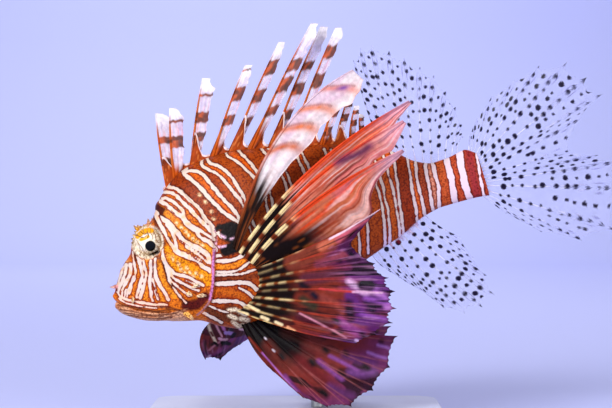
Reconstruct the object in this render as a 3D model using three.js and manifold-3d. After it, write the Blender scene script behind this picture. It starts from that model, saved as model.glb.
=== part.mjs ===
// Red lionfish, life size, as a still museum model on a stand.
// Millimetres, +Z up. The fish faces -X, and its left side faces -Y.
// The origin is the centre of the underside of the stand's base.
import * as THREE from 'three';
import { mergeVertices } from 'three/addons/utils/BufferGeometryUtils.js';
import Module from 'manifold-3d';

const wasm = await Module();
wasm.setup();

// The fish is built in its own frame: x runs from the lips to the tail, y across it, z up.
// It is then pitched nose down and lifted onto the stand.
const PITCH = THREE.MathUtils.degToRad(17);
const LIP_AT = new THREE.Vector3(-105, 0, 78.5);
const GAP = 0.3;
const SNOUT_START = -1.6;
const TAIL_END = 224;

// The back and the belly seen from the side: distance from the lips, height.
const BACK = [
  [-1.6, -6], [-1, -2.5], [2.6, 4.7], [9.7, 14], [15.1, 18.6], [18.8, 25], [22.7, 29.8], [27.8, 31.8],
  [31.5, 32.6], [35.2, 36.5], [41.1, 44.5], [45.9, 49], [56.4, 55.5], [66.2, 58], [77.4, 58.8],
  [88.8, 58.4], [99.3, 56.4], [118, 51.6], [132, 48.6], [150, 43.8], [169, 36.4], [179.6, 29.6],
  [189, 21.5], [198.8, 17.8], [206.9, 18], [217.8, 19.6], [224, 16],
];
const BELLY = [
  [-1.6, -8.5], [-0.6, -12], [4.3, -16.2], [14.5, -22], [25.6, -25.6], [33.9, -28], [42.7, -30.4],
  [52.5, -36.7], [65.8, -42], [80, -42.6], [93.7, -40.8], [120.1, -33.7], [146.6, -24.2],
  [154.7, -21.6], [169.5, -17], [183.6, -10.8], [197.1, -8.4], [213.9, -8.8], [224, -10],
];
const HALF_WIDTH = [
  [-1.6, 1.5], [0, 5.4], [4, 9.4], [12, 13], [20, 15.4], [27, 17.4], [40, 20.4], [55, 22.6], [70, 24],
  [90, 23.4], [110, 21], [130, 17.5], [150, 13.6], [170, 10], [190, 7.4], [205, 6], [216, 5], [224, 3.8],
];
// How square the cross-section is: 2 is an ellipse.
const SQUARENESS = [[0, 2.4], [20, 3.1], [34, 3.1], [50, 2.5], [80, 2.2], [224, 2]];
// How much narrower the top of the section is than its middle.
const KEEL = [[30, 0], [80, 0.16], [224, 0.1]];

// The parting between the jaws, and the rear edge of the gill cover, seen from the side.
const MOUTH_LINE = [
  [-6, -3.2], [-1.2, -5.4], [1.8, -7.6], [6.8, -11.4], [13.1, -15], [20.7, -18.2], [28.5, -20.6],
  [33.5, -32],
];
const GILL_EDGE = [
  [48, 62], [55.5, 44], [65.3, 20.6], [64.4, 12.2], [62.8, 4.2], [60.6, -4.4], [58.2, -10.8],
  [54.8, -18.4], [48.6, -25], [42, -46],
];
const EYE = { u: 28.6, w: 22.2, v: 10.9, radius: 8.2, depth: 6 };

// Reads a table of [distance, value] rows as one smooth curve that never overshoots.
function along(table, u) {
  if (u <= table[0][0]) return table[0][1];
  const last = table.length - 1;
  if (u >= table[last][0]) return table[last][1];
  let k = 0;
  while (table[k + 1][0] < u) k++;
  const slope = (i) => (table[i + 1][1] - table[i][1]) / (table[i + 1][0] - table[i][0]);
  const tangent = (i) => {
    if (i === 0) return slope(0);
    if (i === last) return slope(last - 1);
    const before = slope(i - 1);
    const after = slope(i);
    return before * after <= 0 ? 0 : (2 * before * after) / (before + after);
  };
  const step = table[k + 1][0] - table[k][0];
  const t = (u - table[k][0]) / step;
  const rise = table[k + 1][1] - table[k][1];
  const [m0, m1] = [tangent(k) * step, tangent(k + 1) * step];
  return table[k][1] + m0 * t + (3 * rise - 2 * m0 - m1) * t * t + (m0 + m1 - 2 * rise) * t * t * t;
}

const lerp = THREE.MathUtils.lerp;
const clamp01 = (x) => Math.min(1, Math.max(0, x));
const point = (u, v, w) => new THREE.Vector3(u, v, w);

function distanceToLine(line, u, w) {
  let best = Infinity;
  for (let k = 0; k + 1 < line.length; k++) {
    const [au, aw] = line[k];
    const [bu, bw] = line[k + 1];
    const t = clamp01(((u - au) * (bu - au) + (w - aw) * (bw - aw)) / ((bu - au) ** 2 + (bw - aw) ** 2));
    best = Math.min(best, Math.hypot(u - lerp(au, bu, t), w - lerp(aw, bw, t)));
  }
  return best;
}

// Raised forms on the head and flanks, as millimetres of extra height on the smooth body.
function bump(u, w, form) {
  return form.height * Math.exp(-(((u - form.u) / form.long) ** 2) - ((w - form.w) / form.tall) ** 2);
}
const ridge = (u, w, form) => form.height * Math.exp(-((distanceToLine(form.line, u, w) / form.width) ** 2));

const ORBITAL_RIM = { radius: 8.4, width: 1.7, height: 1.5 };
const HEAD_BUMPS = [
  { u: 37, w: 42, long: 2.6, tall: 3, height: 1.6 },
  { u: 8.4, w: 9.6, long: 1.8, tall: 1.8, height: 0.9 },
];
const HEAD_RIDGES = [
  {
    line: [[0, -2.4], [2.3, -5], [6.4, -8.6], [12.4, -12], [20, -15.2], [27, -17.6]], width: 1.7,
    height: 1.4,
  },
  { line: [[-0.4, -8.4], [5, -13.6], [11, -17.2], [20, -20.8]], width: 1.7, height: 1.4 },
  { line: [[13, 5.5], [24, 10.5], [36, 9.5], [50, 6]], width: 2, height: 1.1 },
  { line: [[38, 20], [48, 24], [60, 27]], width: 2.2, height: 0.9 },
];
const GILL_FLAP = { line: GILL_EDGE.slice(2, 9), width: 6, height: 1.3 };
const FIN_ROOT_SWELLING = { u: 74, w: -13, long: 9, tall: 17, height: 2.6 };

const RELIEF_END = 110;

function reliefAt(u, w, isHead) {
  if (u > RELIEF_END) return 0;
  const fromEye = Math.hypot(u - EYE.u, w - EYE.w);
  let height = ORBITAL_RIM.height * Math.exp(-(((fromEye - ORBITAL_RIM.radius) / ORBITAL_RIM.width) ** 2));
  for (const form of HEAD_BUMPS) height += bump(u, w, form);
  for (const form of HEAD_RIDGES) height += ridge(u, w, form);
  return height + (isHead ? ridge(u, w, GILL_FLAP) : bump(u, w, FIN_ROOT_SWELLING));
}

// The smooth body: one ring of points at each station.
const AROUND = 32;
const HEAD_STATIONS = 28;
const BODY_STATIONS = 18;
const HEAD_END = 66;
// The relief stops this close to the middle line of the back and the belly.
const BARE_MIDDLE = 0.12;

function sectionAt(u) {
  const [top, bottom] = [along(BACK, u), along(BELLY, u)];
  const size = { middle: (top + bottom) / 2, tall: (top - bottom) / 2, wide: along(HALF_WIDTH, u) };
  return { ...size, square: along(SQUARENESS, u), keel: along(KEEL, u) };
}

// Distance of the flank from the middle plane at a place seen from the side.
function flankAt(u, w) {
  const { middle, tall, wide, square, keel } = sectionAt(u);
  const t = (w - middle) / tall;
  const across = wide * Math.max(0, 1 - Math.abs(t) ** square) ** (1 / square);
  return across * (1 - keel * Math.max(0, t));
}

function bodyRing(u, grow, isHead) {
  const { middle, tall, wide, square, keel } = sectionAt(u);
  const ring = [];
  for (let k = 0; k < AROUND; k++) {
    const angle = (k / AROUND) * 2 * Math.PI;
    const [s, c] = [Math.sin(angle), Math.cos(angle)];
    const t = Math.sign(c) * Math.abs(c) ** (2 / square);
    const w = middle + tall * t;
    const v = wide * Math.sign(s) * Math.abs(s) ** (2 / square) * (1 - keel * Math.max(0, t));
    const outward = point(0, s / wide, c / tall).normalize();
    const relief = Math.abs(s) > BARE_MIDDLE ? reliefAt(u, w, isHead) : 0;
    outward.multiplyScalar(grow + relief);
    ring.push(point(u, v, w).add(outward));
  }
  return ring;
}

function bodySolid(grow, isHead) {
  const stations = [];
  for (let k = 0; k <= HEAD_STATIONS; k++) {
    stations.push(lerp(SNOUT_START, HEAD_END, (k / HEAD_STATIONS) ** 1.25));
  }
  for (let k = 1; k <= BODY_STATIONS; k++) stations.push(lerp(HEAD_END, TAIL_END, k / BODY_STATIONS));
  const rings = stations.map((u) => bodyRing(u, grow, isHead));
  if (grow > 0) {
    for (const p of rings[0]) p.x -= grow;
    for (const p of rings[rings.length - 1]) p.x += grow;
  }
  return solid(loft(rings));
}

// A closed skin over rings of points, its two ends closed by a fan.
function loft(rings) {
  const count = rings[0].length;
  const positions = rings.flat().flatMap((p) => p.toArray());
  const index = [];
  for (let r = 0; r + 1 < rings.length; r++) {
    for (let k = 0; k < count; k++) {
      const next = (k + 1) % count;
      const [a, b, c, d] = [r * count + k, r * count + next, (r + 1) * count + next, (r + 1) * count + k];
      index.push(a, b, c, a, c, d);
    }
  }
  for (const r of [0, rings.length - 1]) {
    const middle = rings[r].reduce((sum, p) => sum.add(p), point(0, 0, 0)).divideScalar(count);
    positions.push(...middle.toArray());
    const hub = positions.length / 3 - 1;
    for (let k = 0; k < count; k++) {
      const [a, b] = [r * count + k, r * count + ((k + 1) % count)];
      index.push(...(r === 0 ? [hub, b, a] : [hub, a, b]));
    }
  }
  return closedGeometry(positions, index);
}

// A thin curved sheet with the same triangles on both faces.
function sheet(columns, rows, centreAt, halfAt) {
  const centre = [];
  for (let i = 0; i <= columns; i++) {
    centre.push([]);
    for (let j = 0; j <= rows; j++) centre[i].push(centreAt(i, j));
  }
  const positions = [];
  for (const face of [1, -1]) {
    for (let i = 0; i <= columns; i++) {
      for (let j = 0; j <= rows; j++) {
        const across = centre[Math.min(columns, i + 1)][j].clone().sub(centre[Math.max(0, i - 1)][j]);
        const outward = centre[i][Math.min(rows, j + 1)].clone().sub(centre[i][Math.max(0, j - 1)]);
        const normal = across.cross(outward).normalize().multiplyScalar(face * halfAt(i, j));
        positions.push(...centre[i][j].clone().add(normal).toArray());
      }
    }
  }
  const total = (columns + 1) * (rows + 1);
  const at = (face, i, j) => face * total + i * (rows + 1) + j;
  const index = [];
  const quad = (a, b, c, d) => index.push(a, b, c, a, c, d);
  for (let i = 0; i < columns; i++) {
    for (let j = 0; j < rows; j++) {
      quad(at(0, i, j), at(0, i + 1, j), at(0, i + 1, j + 1), at(0, i, j + 1));
      index.push(at(1, i, j), at(1, i + 1, j + 1), at(1, i + 1, j));
      index.push(at(1, i, j), at(1, i, j + 1), at(1, i + 1, j + 1));
    }
    quad(at(0, i + 1, 0), at(0, i, 0), at(1, i, 0), at(1, i + 1, 0));
    quad(at(0, i, rows), at(0, i + 1, rows), at(1, i + 1, rows), at(1, i, rows));
  }
  for (let j = 0; j < rows; j++) {
    quad(at(0, 0, j), at(0, 0, j + 1), at(1, 0, j + 1), at(1, 0, j));
    quad(at(0, columns, j + 1), at(0, columns, j), at(1, columns, j), at(1, columns, j + 1));
  }
  return closedGeometry(positions, index);
}

// Turns faces outward where a skin was wound the other way round.
function closedGeometry(positions, index) {
  let volume = 0;
  const vertex = (k) => new THREE.Vector3().fromArray(positions, k * 3);
  for (let k = 0; k < index.length; k += 3) {
    volume += vertex(index[k]).dot(vertex(index[k + 1]).cross(vertex(index[k + 2])));
  }
  if (volume < 0) {
    for (let k = 0; k < index.length; k += 3) [index[k + 1], index[k + 2]] = [index[k + 2], index[k + 1]];
  }
  const geometry = new THREE.BufferGeometry();
  geometry.setAttribute('position', new THREE.Float32BufferAttribute(positions, 3));
  geometry.setIndex(index);
  return geometry;
}

function solid(geometry) {
  const bare = geometry.clone();
  bare.deleteAttribute('normal');
  bare.deleteAttribute('uv');
  const merged = mergeVertices(bare, 1e-4);
  return new wasm.Manifold(new wasm.Mesh({
    numProp: 3,
    vertProperties: new Float32Array(merged.attributes.position.array),
    triVerts: new Uint32Array(merged.index.array),
  }));
}

const largestBody = (form) => form.decompose().sort((a, b) => b.volume() - a.volume())[0];

function geometryOf(form) {
  const mesh = largestBody(form).getMesh();
  const geometry = new THREE.BufferGeometry();
  geometry.setAttribute('position', new THREE.BufferAttribute(new Float32Array(mesh.vertProperties), 3));
  geometry.setIndex(new THREE.BufferAttribute(new Uint32Array(mesh.triVerts), 1));
  geometry.computeVertexNormals();
  return geometry;
}

// A block with the given outline seen from the side, right through the fish.
function sideBlock(outline) {
  const reach = 160;
  const shape = new THREE.Shape(outline.map(([u, w]) => new THREE.Vector2(u, w)));
  const block = new THREE.ExtrudeGeometry(shape, { depth: reach, bevelEnabled: false });
  return solid(block.rotateX(Math.PI / 2).translate(0, reach / 2, 0));
}

const shifted = (line, du, dw) => line.map(([u, w]) => [u + du, w + dw]);

function ellipsoid(centre, radii, grow, around = 16, tall = 10) {
  const ball = new THREE.SphereGeometry(1, around, tall);
  ball.scale(radii.x + grow, radii.y + grow, radii.z + grow);
  return ball.translate(centre.x, centre.y, centre.z);
}

// Head, jaw, trunk and tail stalk, parted by thin cuts
const TRUNK_PARTING = 119;
const STALK_PARTING = 186;
const FAR = 400;

function eyeForm(side, grow) {
  const radii = point(EYE.radius, EYE.depth, EYE.radius);
  return solid(ellipsoid(point(EYE.u, side * EYE.v, EYE.w), radii, grow));
}

// Skin tentacles on each side of the head: root seen from the side, and the way each one points.
const TENTACLES = [
  { root: [3.4, 2.4], way: [-3.6, 2.2, 1], width: 1.8 },
  { root: [10.5, -5.6], way: [-0.8, 2.6, -3], width: 1.6 },
  { root: [24.5, 29.6], way: [-1.6, 1.4, 3.4], width: 2 },
  { root: [31, 30.2], way: [0.8, 1.2, 4], width: 2 },
  { root: [41.5, -11.4], way: [2, 3, -3], width: 2.2 },
  { root: [45, -9.4], way: [4.4, 3, -0.6], width: 2.2 },
  { root: [46.5, -15], way: [4.4, 2.6, -1.6], width: 2.4 },
  { root: [36.5, -22.4], way: [3.6, 3.4, -5], width: 2.8 },
];
const TENTACLE = { thick: 1.1, sunk: 1.2, around: 4, widths: [1, 0.95, 0.45] };

function tentacle({ root, way, width }, side) {
  const base = point(root[0], side * (flankAt(root[0], root[1]) + reliefAt(root[0], root[1], true)), root[1]);
  const axis = point(way[0], side * way[1], way[2]);
  base.addScaledVector(axis.clone().normalize(), -TENTACLE.sunk);
  const wide = axis.clone().cross(point(0, 1, 0)).normalize();
  const thick = axis.clone().cross(wide).normalize();
  const rings = TENTACLE.widths.map((share, k) => {
    const centre = base.clone().addScaledVector(axis, (k / (TENTACLE.widths.length - 1)) * 1.2);
    return Array.from({ length: TENTACLE.around }, (_, n) => {
      const angle = (n / TENTACLE.around) * 2 * Math.PI;
      const across = wide.clone().multiplyScalar(Math.cos(angle) * width * share * 0.5);
      const lift = Math.sin(angle) * TENTACLE.thick * share * 0.5;
      return centre.clone().add(across).addScaledVector(thick, lift);
    });
  });
  return solid(loft(rings));
}

// The nostril is a small pit in the top of its own swelling.
const NOSTRIL = { u: 8.4, w: 9.6, radius: 0.9, depth: 1.4 };

function nostril(side) {
  const centre = point(NOSTRIL.u, side * (flankAt(NOSTRIL.u, NOSTRIL.w) + HEAD_BUMPS[1].height), NOSTRIL.w);
  return solid(ellipsoid(centre, point(NOSTRIL.radius, NOSTRIL.depth, NOSTRIL.radius), 0, 8, 6));
}

// Everything ahead of the gill edge, behind it, and under the mouth line.
const [GILL_TOP] = GILL_EDGE;
const GILL_FOOT = GILL_EDGE[GILL_EDGE.length - 1];
const [MOUTH_FRONT] = MOUTH_LINE;
const MOUTH_CORNER = MOUTH_LINE[MOUTH_LINE.length - 1];
const headward = sideBlock([...GILL_EDGE, [-FAR, -FAR], [-FAR, FAR], [GILL_TOP[0], FAR]]);
const tailward = sideBlock([
  ...shifted(GILL_EDGE, GAP, 0), [GILL_FOOT[0] + GAP, -FAR], [FAR, -FAR], [FAR, FAR],
  [GILL_TOP[0] + GAP, FAR],
]);
const jawward = [...MOUTH_LINE, [MOUTH_CORNER[0], -FAR], [-FAR, -FAR], [-FAR, MOUTH_FRONT[1]]];

function fleshParts() {
  const fullHead = bodySolid(0, true).intersect(headward);
  const fullTrunk = bodySolid(0, false).intersect(tailward);
  const trunkwards = bodySolid(GAP, false).intersect(tailward);
  let head = fullHead.subtract(sideBlock(jawward));
  for (const side of [1, -1]) {
    const tentacles = union(TENTACLES.map((row) => tentacle(row, side)));
    head = head.add(tentacles.subtract(trunkwards)).subtract(nostril(side)).subtract(eyeForm(side, GAP));
  }
  const slab = (from, to) => sideBlock([[from, -FAR], [to, -FAR], [to, FAR], [from, FAR]]);
  return {
    head,
    lower_jaw: fullHead.intersect(sideBlock(shifted(jawward, -GAP, -GAP))),
    trunk_front: fullTrunk.intersect(slab(0, TRUNK_PARTING)),
    trunk_rear: fullTrunk.intersect(slab(TRUNK_PARTING + GAP, STALK_PARTING)),
    tail_stalk: fullTrunk.intersect(slab(STALK_PARTING + GAP, FAR)),
  };
}

// Fins. A ray is a curve from its root to its tip, bowed through a point between them.
function ray(root, through, tip) {
  const bow = through.clone().multiplyScalar(2).sub(root.clone().add(tip).multiplyScalar(0.5));
  return new THREE.QuadraticBezierCurve3(root, bow, tip);
}

// Where the columns of a membrane stand between one ray's crest and the next.
const RIDGE_STEPS = [0, 0.22, 0.78];

// A membrane over a row of rays, each ray raised on both faces, with a notched margin between them.
function fan(rays, { rows, rayHalf, webHalf, notch, wave = 0 }) {
  const steps = RIDGE_STEPS.length;
  const columns = (rays.length - 1) * steps;
  const placeOf = (i) => {
    if (i === columns) return { k: rays.length - 2, f: 1 };
    return { k: Math.floor(i / steps), f: RIDGE_STEPS[i % steps] };
  };
  const centreAt = (i, j) => {
    const { k, f } = placeOf(i);
    const t = (j / rows) * (1 - notch * 4 * f * (1 - f));
    const p = rays[k].getPoint(t).lerp(rays[k + 1].getPoint(t), f);
    p.y += wave * t * Math.sin((i / columns) * 3 * Math.PI);
    return p;
  };
  const halfAt = (i, j) => {
    const { f } = placeOf(i);
    const onRay = f === 0 || f === 1;
    return onRay ? lerp(rayHalf, webHalf, j / rows) : webHalf;
  };
  return solid(sheet(columns, rows, centreAt, halfAt));
}

// One free ray with its own strip of membrane behind it.
function vane(curve, { rows, width, spread, behind, rodHalf, webHalf = 0.3 }) {
  const lead = 0.9;
  const across = [0, 0.3, 1];
  const centreAt = (i, j) => {
    const t = j / rows;
    const reach = i === 0 ? -lead * Math.min(1, along(spread, t)) : across[i - 1] * width * along(spread, t);
    return curve.getPoint(t).addScaledVector(behind, reach);
  };
  const halfAt = (i, j) => (i === 1 ? lerp(rodHalf, webHalf, j / rows) : webHalf);
  return solid(sheet(across.length, rows, centreAt, halfAt));
}

const union = (forms) => forms.slice(1).reduce((sum, form) => sum.add(form), forms[0]);

// The spiny part of the back fin: thirteen venomous spines, each with a trailing flag of
// membrane, and the web between their roots, high behind each spine and low before the next.
const SPINE_WEB = { from: 44, to: 167, low: 1.6, high: 16.5, fall: 3.6, sunk: 3, half: 0.7, edge: 0.35 };
const SPINE_ROOTS = [46.5, 51.8, 62.9, 75.7, 86.8, 97.5, 109, 119.5, 129, 138, 146.5, 154.5, 162];
const SPINE_TIPS = [
  [52.6, 92.5], [61.8, 92.4], [84.8, 104], [111, 103.5], [133.6, 111.3], [154.4, 115.4], [159.4, 112.8],
  [167.2, 108.8], [157, 80.5], [160.5, 75], [163, 69], [164.5, 62.5], [166, 57.5],
];
const SPINE_FLAGS = [8, 8, 7.2, 5.8, 5.6, 5.6, 5.6, 5.6, 5, 4.6, 4, 3.4, 2.8];
const FLAG_SPREAD = [[0, 0.25], [0.3, 0.62], [0.45, 0.95], [0.9, 1], [1, 0.5]];
const SPINE_LEAN = 4;

// The web's height at a place along the back, and how far it leans with the spine ahead of it.
function webAt(u) {
  const k = SPINE_ROOTS.filter((root) => root <= u).length - 1;
  if (k < 0) return { high: SPINE_WEB.low, lean: 0 };
  const root = SPINE_ROOTS[k];
  const [tipU, tipW] = SPINE_TIPS[k];
  const full = Math.min(SPINE_WEB.high, 0.35 * (tipW - along(BACK, root)));
  const high = lerp(SPINE_WEB.low, full, Math.exp(-(((u - root) / SPINE_WEB.fall) ** 2)));
  return { high, lean: (tipU - root) / (tipW - along(BACK, root)) };
}

function spinyBackFin() {
  const places = [SPINE_WEB.from];
  for (const root of [...SPINE_ROOTS, SPINE_WEB.to]) {
    const before = places[places.length - 1];
    const gap = root - before;
    if (gap > 4) places.push(before + 0.35 * gap, before + 0.7 * gap);
    places.push(root - SPINE_WEB.edge, root + SPINE_WEB.edge);
  }
  const webCentre = (i, j) => {
    const { high, lean } = webAt(places[i]);
    const rise = lerp(-SPINE_WEB.sunk, high, j / 2);
    return point(places[i] + lean * Math.max(0, rise), 0, along(BACK, places[i]) + rise);
  };
  const webHalf = (i, j) => (j === 2 ? SPINE_WEB.edge : SPINE_WEB.half);
  const forms = [solid(sheet(places.length - 1, 2, webCentre, webHalf))];
  SPINE_ROOTS.forEach((root, k) => {
    const base = point(root, 0, along(BACK, root) - SPINE_WEB.sunk);
    const lean = k % 2 === 0 ? SPINE_LEAN : -SPINE_LEAN;
    const tip = point(SPINE_TIPS[k][0], lean, SPINE_TIPS[k][1]);
    const through = base.clone().lerp(tip, 0.5).add(point(-0.8, 0, 0.8));
    const behind = point(0.92, 0.1 * Math.sign(lean), -0.3).normalize();
    forms.push(vane(ray(base, through, tip), {
      rows: 5, width: SPINE_FLAGS[k], spread: FLAG_SPREAD, behind, rodHalf: 0.95,
    }));
  });
  return union(forms);
}

// Soft fins in the middle plane: the root and the tip of each ray.
function middleFin(roots, tips, options) {
  const rays = tips.map(([u, w], k) => {
    const [ru, rw] = roots(k / (tips.length - 1));
    const root = point(ru, 0, rw);
    const tip = point(u, 0, w);
    const bow = point(options.bow[0], 0, options.bow[1]);
    return ray(root, root.clone().lerp(tip, 0.5).add(bow), tip);
  });
  return fan(rays, options);
}

const SOFT_BACK_TIPS = [
  [171.5, 88], [177.5, 94], [184.6, 94], [193, 87.5], [200, 81], [207.2, 73], [213.5, 66],
  [217.9, 55.5], [220.5, 44.8], [221, 34], [219.5, 27],
];
const softBackFin = () => middleFin(
  (t) => [lerp(172.5, 213, t), along(BACK, lerp(172.5, 213, t)) - 3],
  SOFT_BACK_TIPS,
  { rows: 6, rayHalf: 0.8, webHalf: 0.3, notch: 0.05, wave: 2, bow: [-1.5, 1] },
);

const ANAL_TIPS = [
  [157, -36], [165, -46], [173, -55], [180.5, -66], [190.4, -71.6], [201, -70.6], [210.2, -66.4],
  [209, -54], [205, -42], [201, -28],
];
const analFin = () => middleFin(
  (t) => [lerp(148, 184, t), along(BELLY, lerp(148, 184, t)) + 3],
  ANAL_TIPS,
  { rows: 6, rayHalf: 0.9, webHalf: 0.3, notch: 0.05, wave: 2, bow: [-1, -1] },
);

const CAUDAL_TIPS = [
  [222.5, 26], [230, 34.8], [242.5, 44.8], [258, 50.3], [274, 53.7], [290, 51], [298, 39], [304, 27],
  [288, 17.5], [276, 1.5], [291, -6], [301, -13], [299.5, -28], [289, -51], [268, -51], [247, -39.2],
  [230, -22.5],
];
const caudalFin = () => middleFin(
  (t) => [219.5, lerp(15.5, -8.6, t)],
  CAUDAL_TIPS,
  { rows: 5, rayHalf: 0.9, webHalf: 0.3, notch: 0.03, wave: 3, bow: [0, 0] },
);

// Pectoral fins: free feather-like rays above, a banded fan below, all from one curved root.
const FIN_ROOT_ARC = [
  [74.5, 4.5], [79.4, -2.9], [83.2, -9.9], [83.4, -17.1], [80.3, -23.3], [74.1, -28], [66, -31],
];
const ROOT_PAD = { radius: 2.1, steps: 10, raised: 0.3 };
const FREE_SPREAD = [[0, 0.2], [0.35, 0.7], [0.6, 1], [0.9, 0.85], [1, 0.35]];
const BLADE_SPREAD = [[0, 0.2], [0.35, 0.75], [0.6, 1], [0.9, 1], [1, 0.65]];
const POINTED_SPREAD = [[0, 0.15], [0.35, 0.6], [0.62, 1], [0.78, 0.5], [1, 0.1]];
// Each ray: a point half way along it and its tip, as place along, out from the body, and up.
const LEFT_FREE_RAYS = [
  { through: [116.5, 30.5, 56.5], tip: [168, 34, 80.5], width: 16, spread: BLADE_SPREAD },
  { through: [130, 33.5, 34.5], tip: [192.6, 38, 54.6], width: 9, spread: FREE_SPREAD },
  { through: [128, 35, 27.5], tip: [186, 41, 45], width: 13, spread: FREE_SPREAD },
  { through: [124, 37, 16], tip: [180.6, 47, 29.5], width: 19, spread: POINTED_SPREAD },
];
const LEFT_FAN_RAYS = [
  { through: [119.5, 46, -6.4], tip: [159, 58, 1.9] },
  { through: [114, 46, -12.5], tip: [138, 60, -11.5] },
  { through: [114, 46, -19.5], tip: [147.5, 59, -25.7] },
  { through: [113, 46, -25], tip: [152.4, 58, -35.4] },
  { through: [113.4, 46, -30.5], tip: [153.6, 57, -43.6] },
  { through: [111, 45, -37.5], tip: [151.6, 56, -52.8] },
  { through: [107, 43, -43], tip: [147.4, 54, -60] },
  { through: [102, 41, -47.5], tip: [137, 51, -64] },
  { through: [96, 38, -50.3], tip: [125.4, 48, -65.5] },
];
const RIGHT_FREE_RAYS = [
  { through: [107, 64, 34], tip: [134, 100, 45], width: 15, spread: BLADE_SPREAD },
  { through: [109, 68, 22], tip: [142, 108, 34], width: 9, spread: FREE_SPREAD },
  { through: [109, 70, 12], tip: [140, 112, 20], width: 11, spread: FREE_SPREAD },
  { through: [107, 71, 3], tip: [135, 114, 6], width: 14, spread: POINTED_SPREAD },
];
const RIGHT_FAN_RAYS = [
  { through: [104, 70, -5], tip: [127, 112, -8] },
  { through: [102, 68, -12], tip: [119, 107, -19] },
  { through: [98, 65, -19], tip: [111, 101, -29] },
  { through: [93, 61, -25], tip: [101, 93, -38] },
  { through: [86, 56, -31], tip: [90, 84, -46] },
  { through: [78, 50, -36], tip: [75, 74, -51.5] },
  { through: [67, 45, -40.5], tip: [56, 66, -55] },
  { through: [53, 41, -42.5], tip: [42.5, 56, -60] },
  { through: [39.5, 38, -38.5], tip: [34.5, 51, -56.5] },
];

function finRootAt(t, side) {
  const curve = new THREE.CatmullRomCurve3(FIN_ROOT_ARC.map(([u, w]) => point(u, 0, w)));
  const p = curve.getPoint(t);
  p.y = side * (flankAt(p.x, p.z) + bump(p.x, p.z, FIN_ROOT_SWELLING) + ROOT_PAD.raised);
  return p;
}

function pectoralFin(freeRays, fanRays, side) {
  const count = freeRays.length + fanRays.length;
  const place = ([u, v, w]) => point(u, side * v, w);
  const curveOf = (row, k) => ray(finRootAt(k / (count - 1), side), place(row.through), place(row.tip));
  const forms = freeRays.map((row, k) => vane(curveOf(row, k), {
    rows: 7, width: row.width, spread: row.spread, behind: point(0.5, 0, -0.85).normalize(), rodHalf: 1,
    webHalf: 0.32,
  }));
  const fanCurves = fanRays.map((row, k) => curveOf(row, k + freeRays.length));
  forms.push(fan(fanCurves, { rows: 6, rayHalf: 1, webHalf: 0.32, notch: 0.05 }));
  const rootLine = Array.from({ length: 9 }, (_, k) => finRootAt(k / 8, side));
  const disc = new THREE.Shape().absarc(0, 0, ROOT_PAD.radius, 0, 2 * Math.PI);
  forms.push(solid(new THREE.ExtrudeGeometry(disc, {
    steps: ROOT_PAD.steps, curveSegments: 3, extrudePath: new THREE.CatmullRomCurve3(rootLine),
  })));
  return union(forms);
}

// Pelvic fins: one spine and five long rays each.
const PELVIC_TIPS = [
  [77.6, 16, -72.4], [87.5, 20, -88.7], [99, 24, -97.2], [112, 28, -100.4], [126.4, 31, -95],
  [139.2, 34, -85], [148.4, 37, -69],
];
const PELVIC_ROOT = { from: 65, step: 2.2, out: 9, sunk: 4 };

function pelvicFin(side) {
  const rays = PELVIC_TIPS.map(([u, v, w], k) => {
    const at = PELVIC_ROOT.from + k * PELVIC_ROOT.step;
    const root = point(at, side * PELVIC_ROOT.out, along(BELLY, at) + PELVIC_ROOT.sunk);
    const tip = point(u, side * v, w);
    return ray(root, root.clone().lerp(tip, 0.5).add(point(k < 2 ? -2 : 0, side * 2, -2)), tip);
  });
  return fan(rays, { rows: 6, rayHalf: 1, webHalf: 0.35, notch: 0.04 });
}

// Stand: a plain round-cornered base and one rod up to the belly.
const BASE = { long: 170, wide: 116, thick: 12, corner: 14, bevel: 1.2 };
const ROD = { radius: 4, u: 116 };

function standBase() {
  const [x, y, r] = [BASE.long / 2 - BASE.bevel, BASE.wide / 2 - BASE.bevel, BASE.corner];
  const shape = new THREE.Shape();
  shape.moveTo(-x + r, -y).lineTo(x - r, -y).absarc(x - r, -y + r, r, -Math.PI / 2, 0);
  shape.lineTo(x, y - r).absarc(x - r, y - r, r, 0, Math.PI / 2);
  shape.lineTo(-x + r, y).absarc(-x + r, y - r, r, Math.PI / 2, Math.PI);
  shape.lineTo(-x, -y + r).absarc(-x + r, -y + r, r, Math.PI, 1.5 * Math.PI);
  const plate = new THREE.ExtrudeGeometry(shape, {
    depth: BASE.thick - 2 * BASE.bevel, bevelThickness: BASE.bevel, bevelSize: BASE.bevel,
    bevelSegments: 1, curveSegments: 4,
  });
  return plate.translate(0, 0, BASE.bevel);
}

const inWorld = (frame, form) => {
  const geometry = geometryOf(form);
  return solid(geometry.applyMatrix4(frame.matrixWorld));
};

function standRod(frame) {
  const foot = BASE.thick + GAP;
  const top = point(ROD.u, 0, along(BELLY, ROD.u) + 12).applyMatrix4(frame.matrixWorld);
  const rod = new THREE.CylinderGeometry(ROD.radius, ROD.radius, top.z - foot, 24);
  rod.rotateX(Math.PI / 2).translate(top.x, 0, (top.z + foot) / 2);
  return solid(rod).subtract(inWorld(frame, bodySolid(GAP, false)));
}

const look = (color, roughness, metalness = 0) => {
  return new THREE.MeshStandardMaterial({ color, roughness, metalness });
};
const flesh = look(0xb06038, 0.45);
const pale = look(0xe6c8b4, 0.45);
const finLook = look(0x8a3a3a, 0.4);
const clearFin = look(0xb9a6c8, 0.35);
const eyeLook = look(0x1a1210, 0.1);
const baseLook = look(0xc9cbe0, 0.4);
const rodLook = look(0xc0c2c4, 0.3, 1);

const part = new THREE.Group();
const fish = new THREE.Group();
fish.position.copy(LIP_AT);
fish.rotation.y = -PITCH;
part.add(fish);
part.updateMatrixWorld(true);

function add(group, name, geometry, material) {
  const mesh = new THREE.Mesh(geometry, material);
  mesh.name = name;
  group.add(mesh);
}

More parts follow.
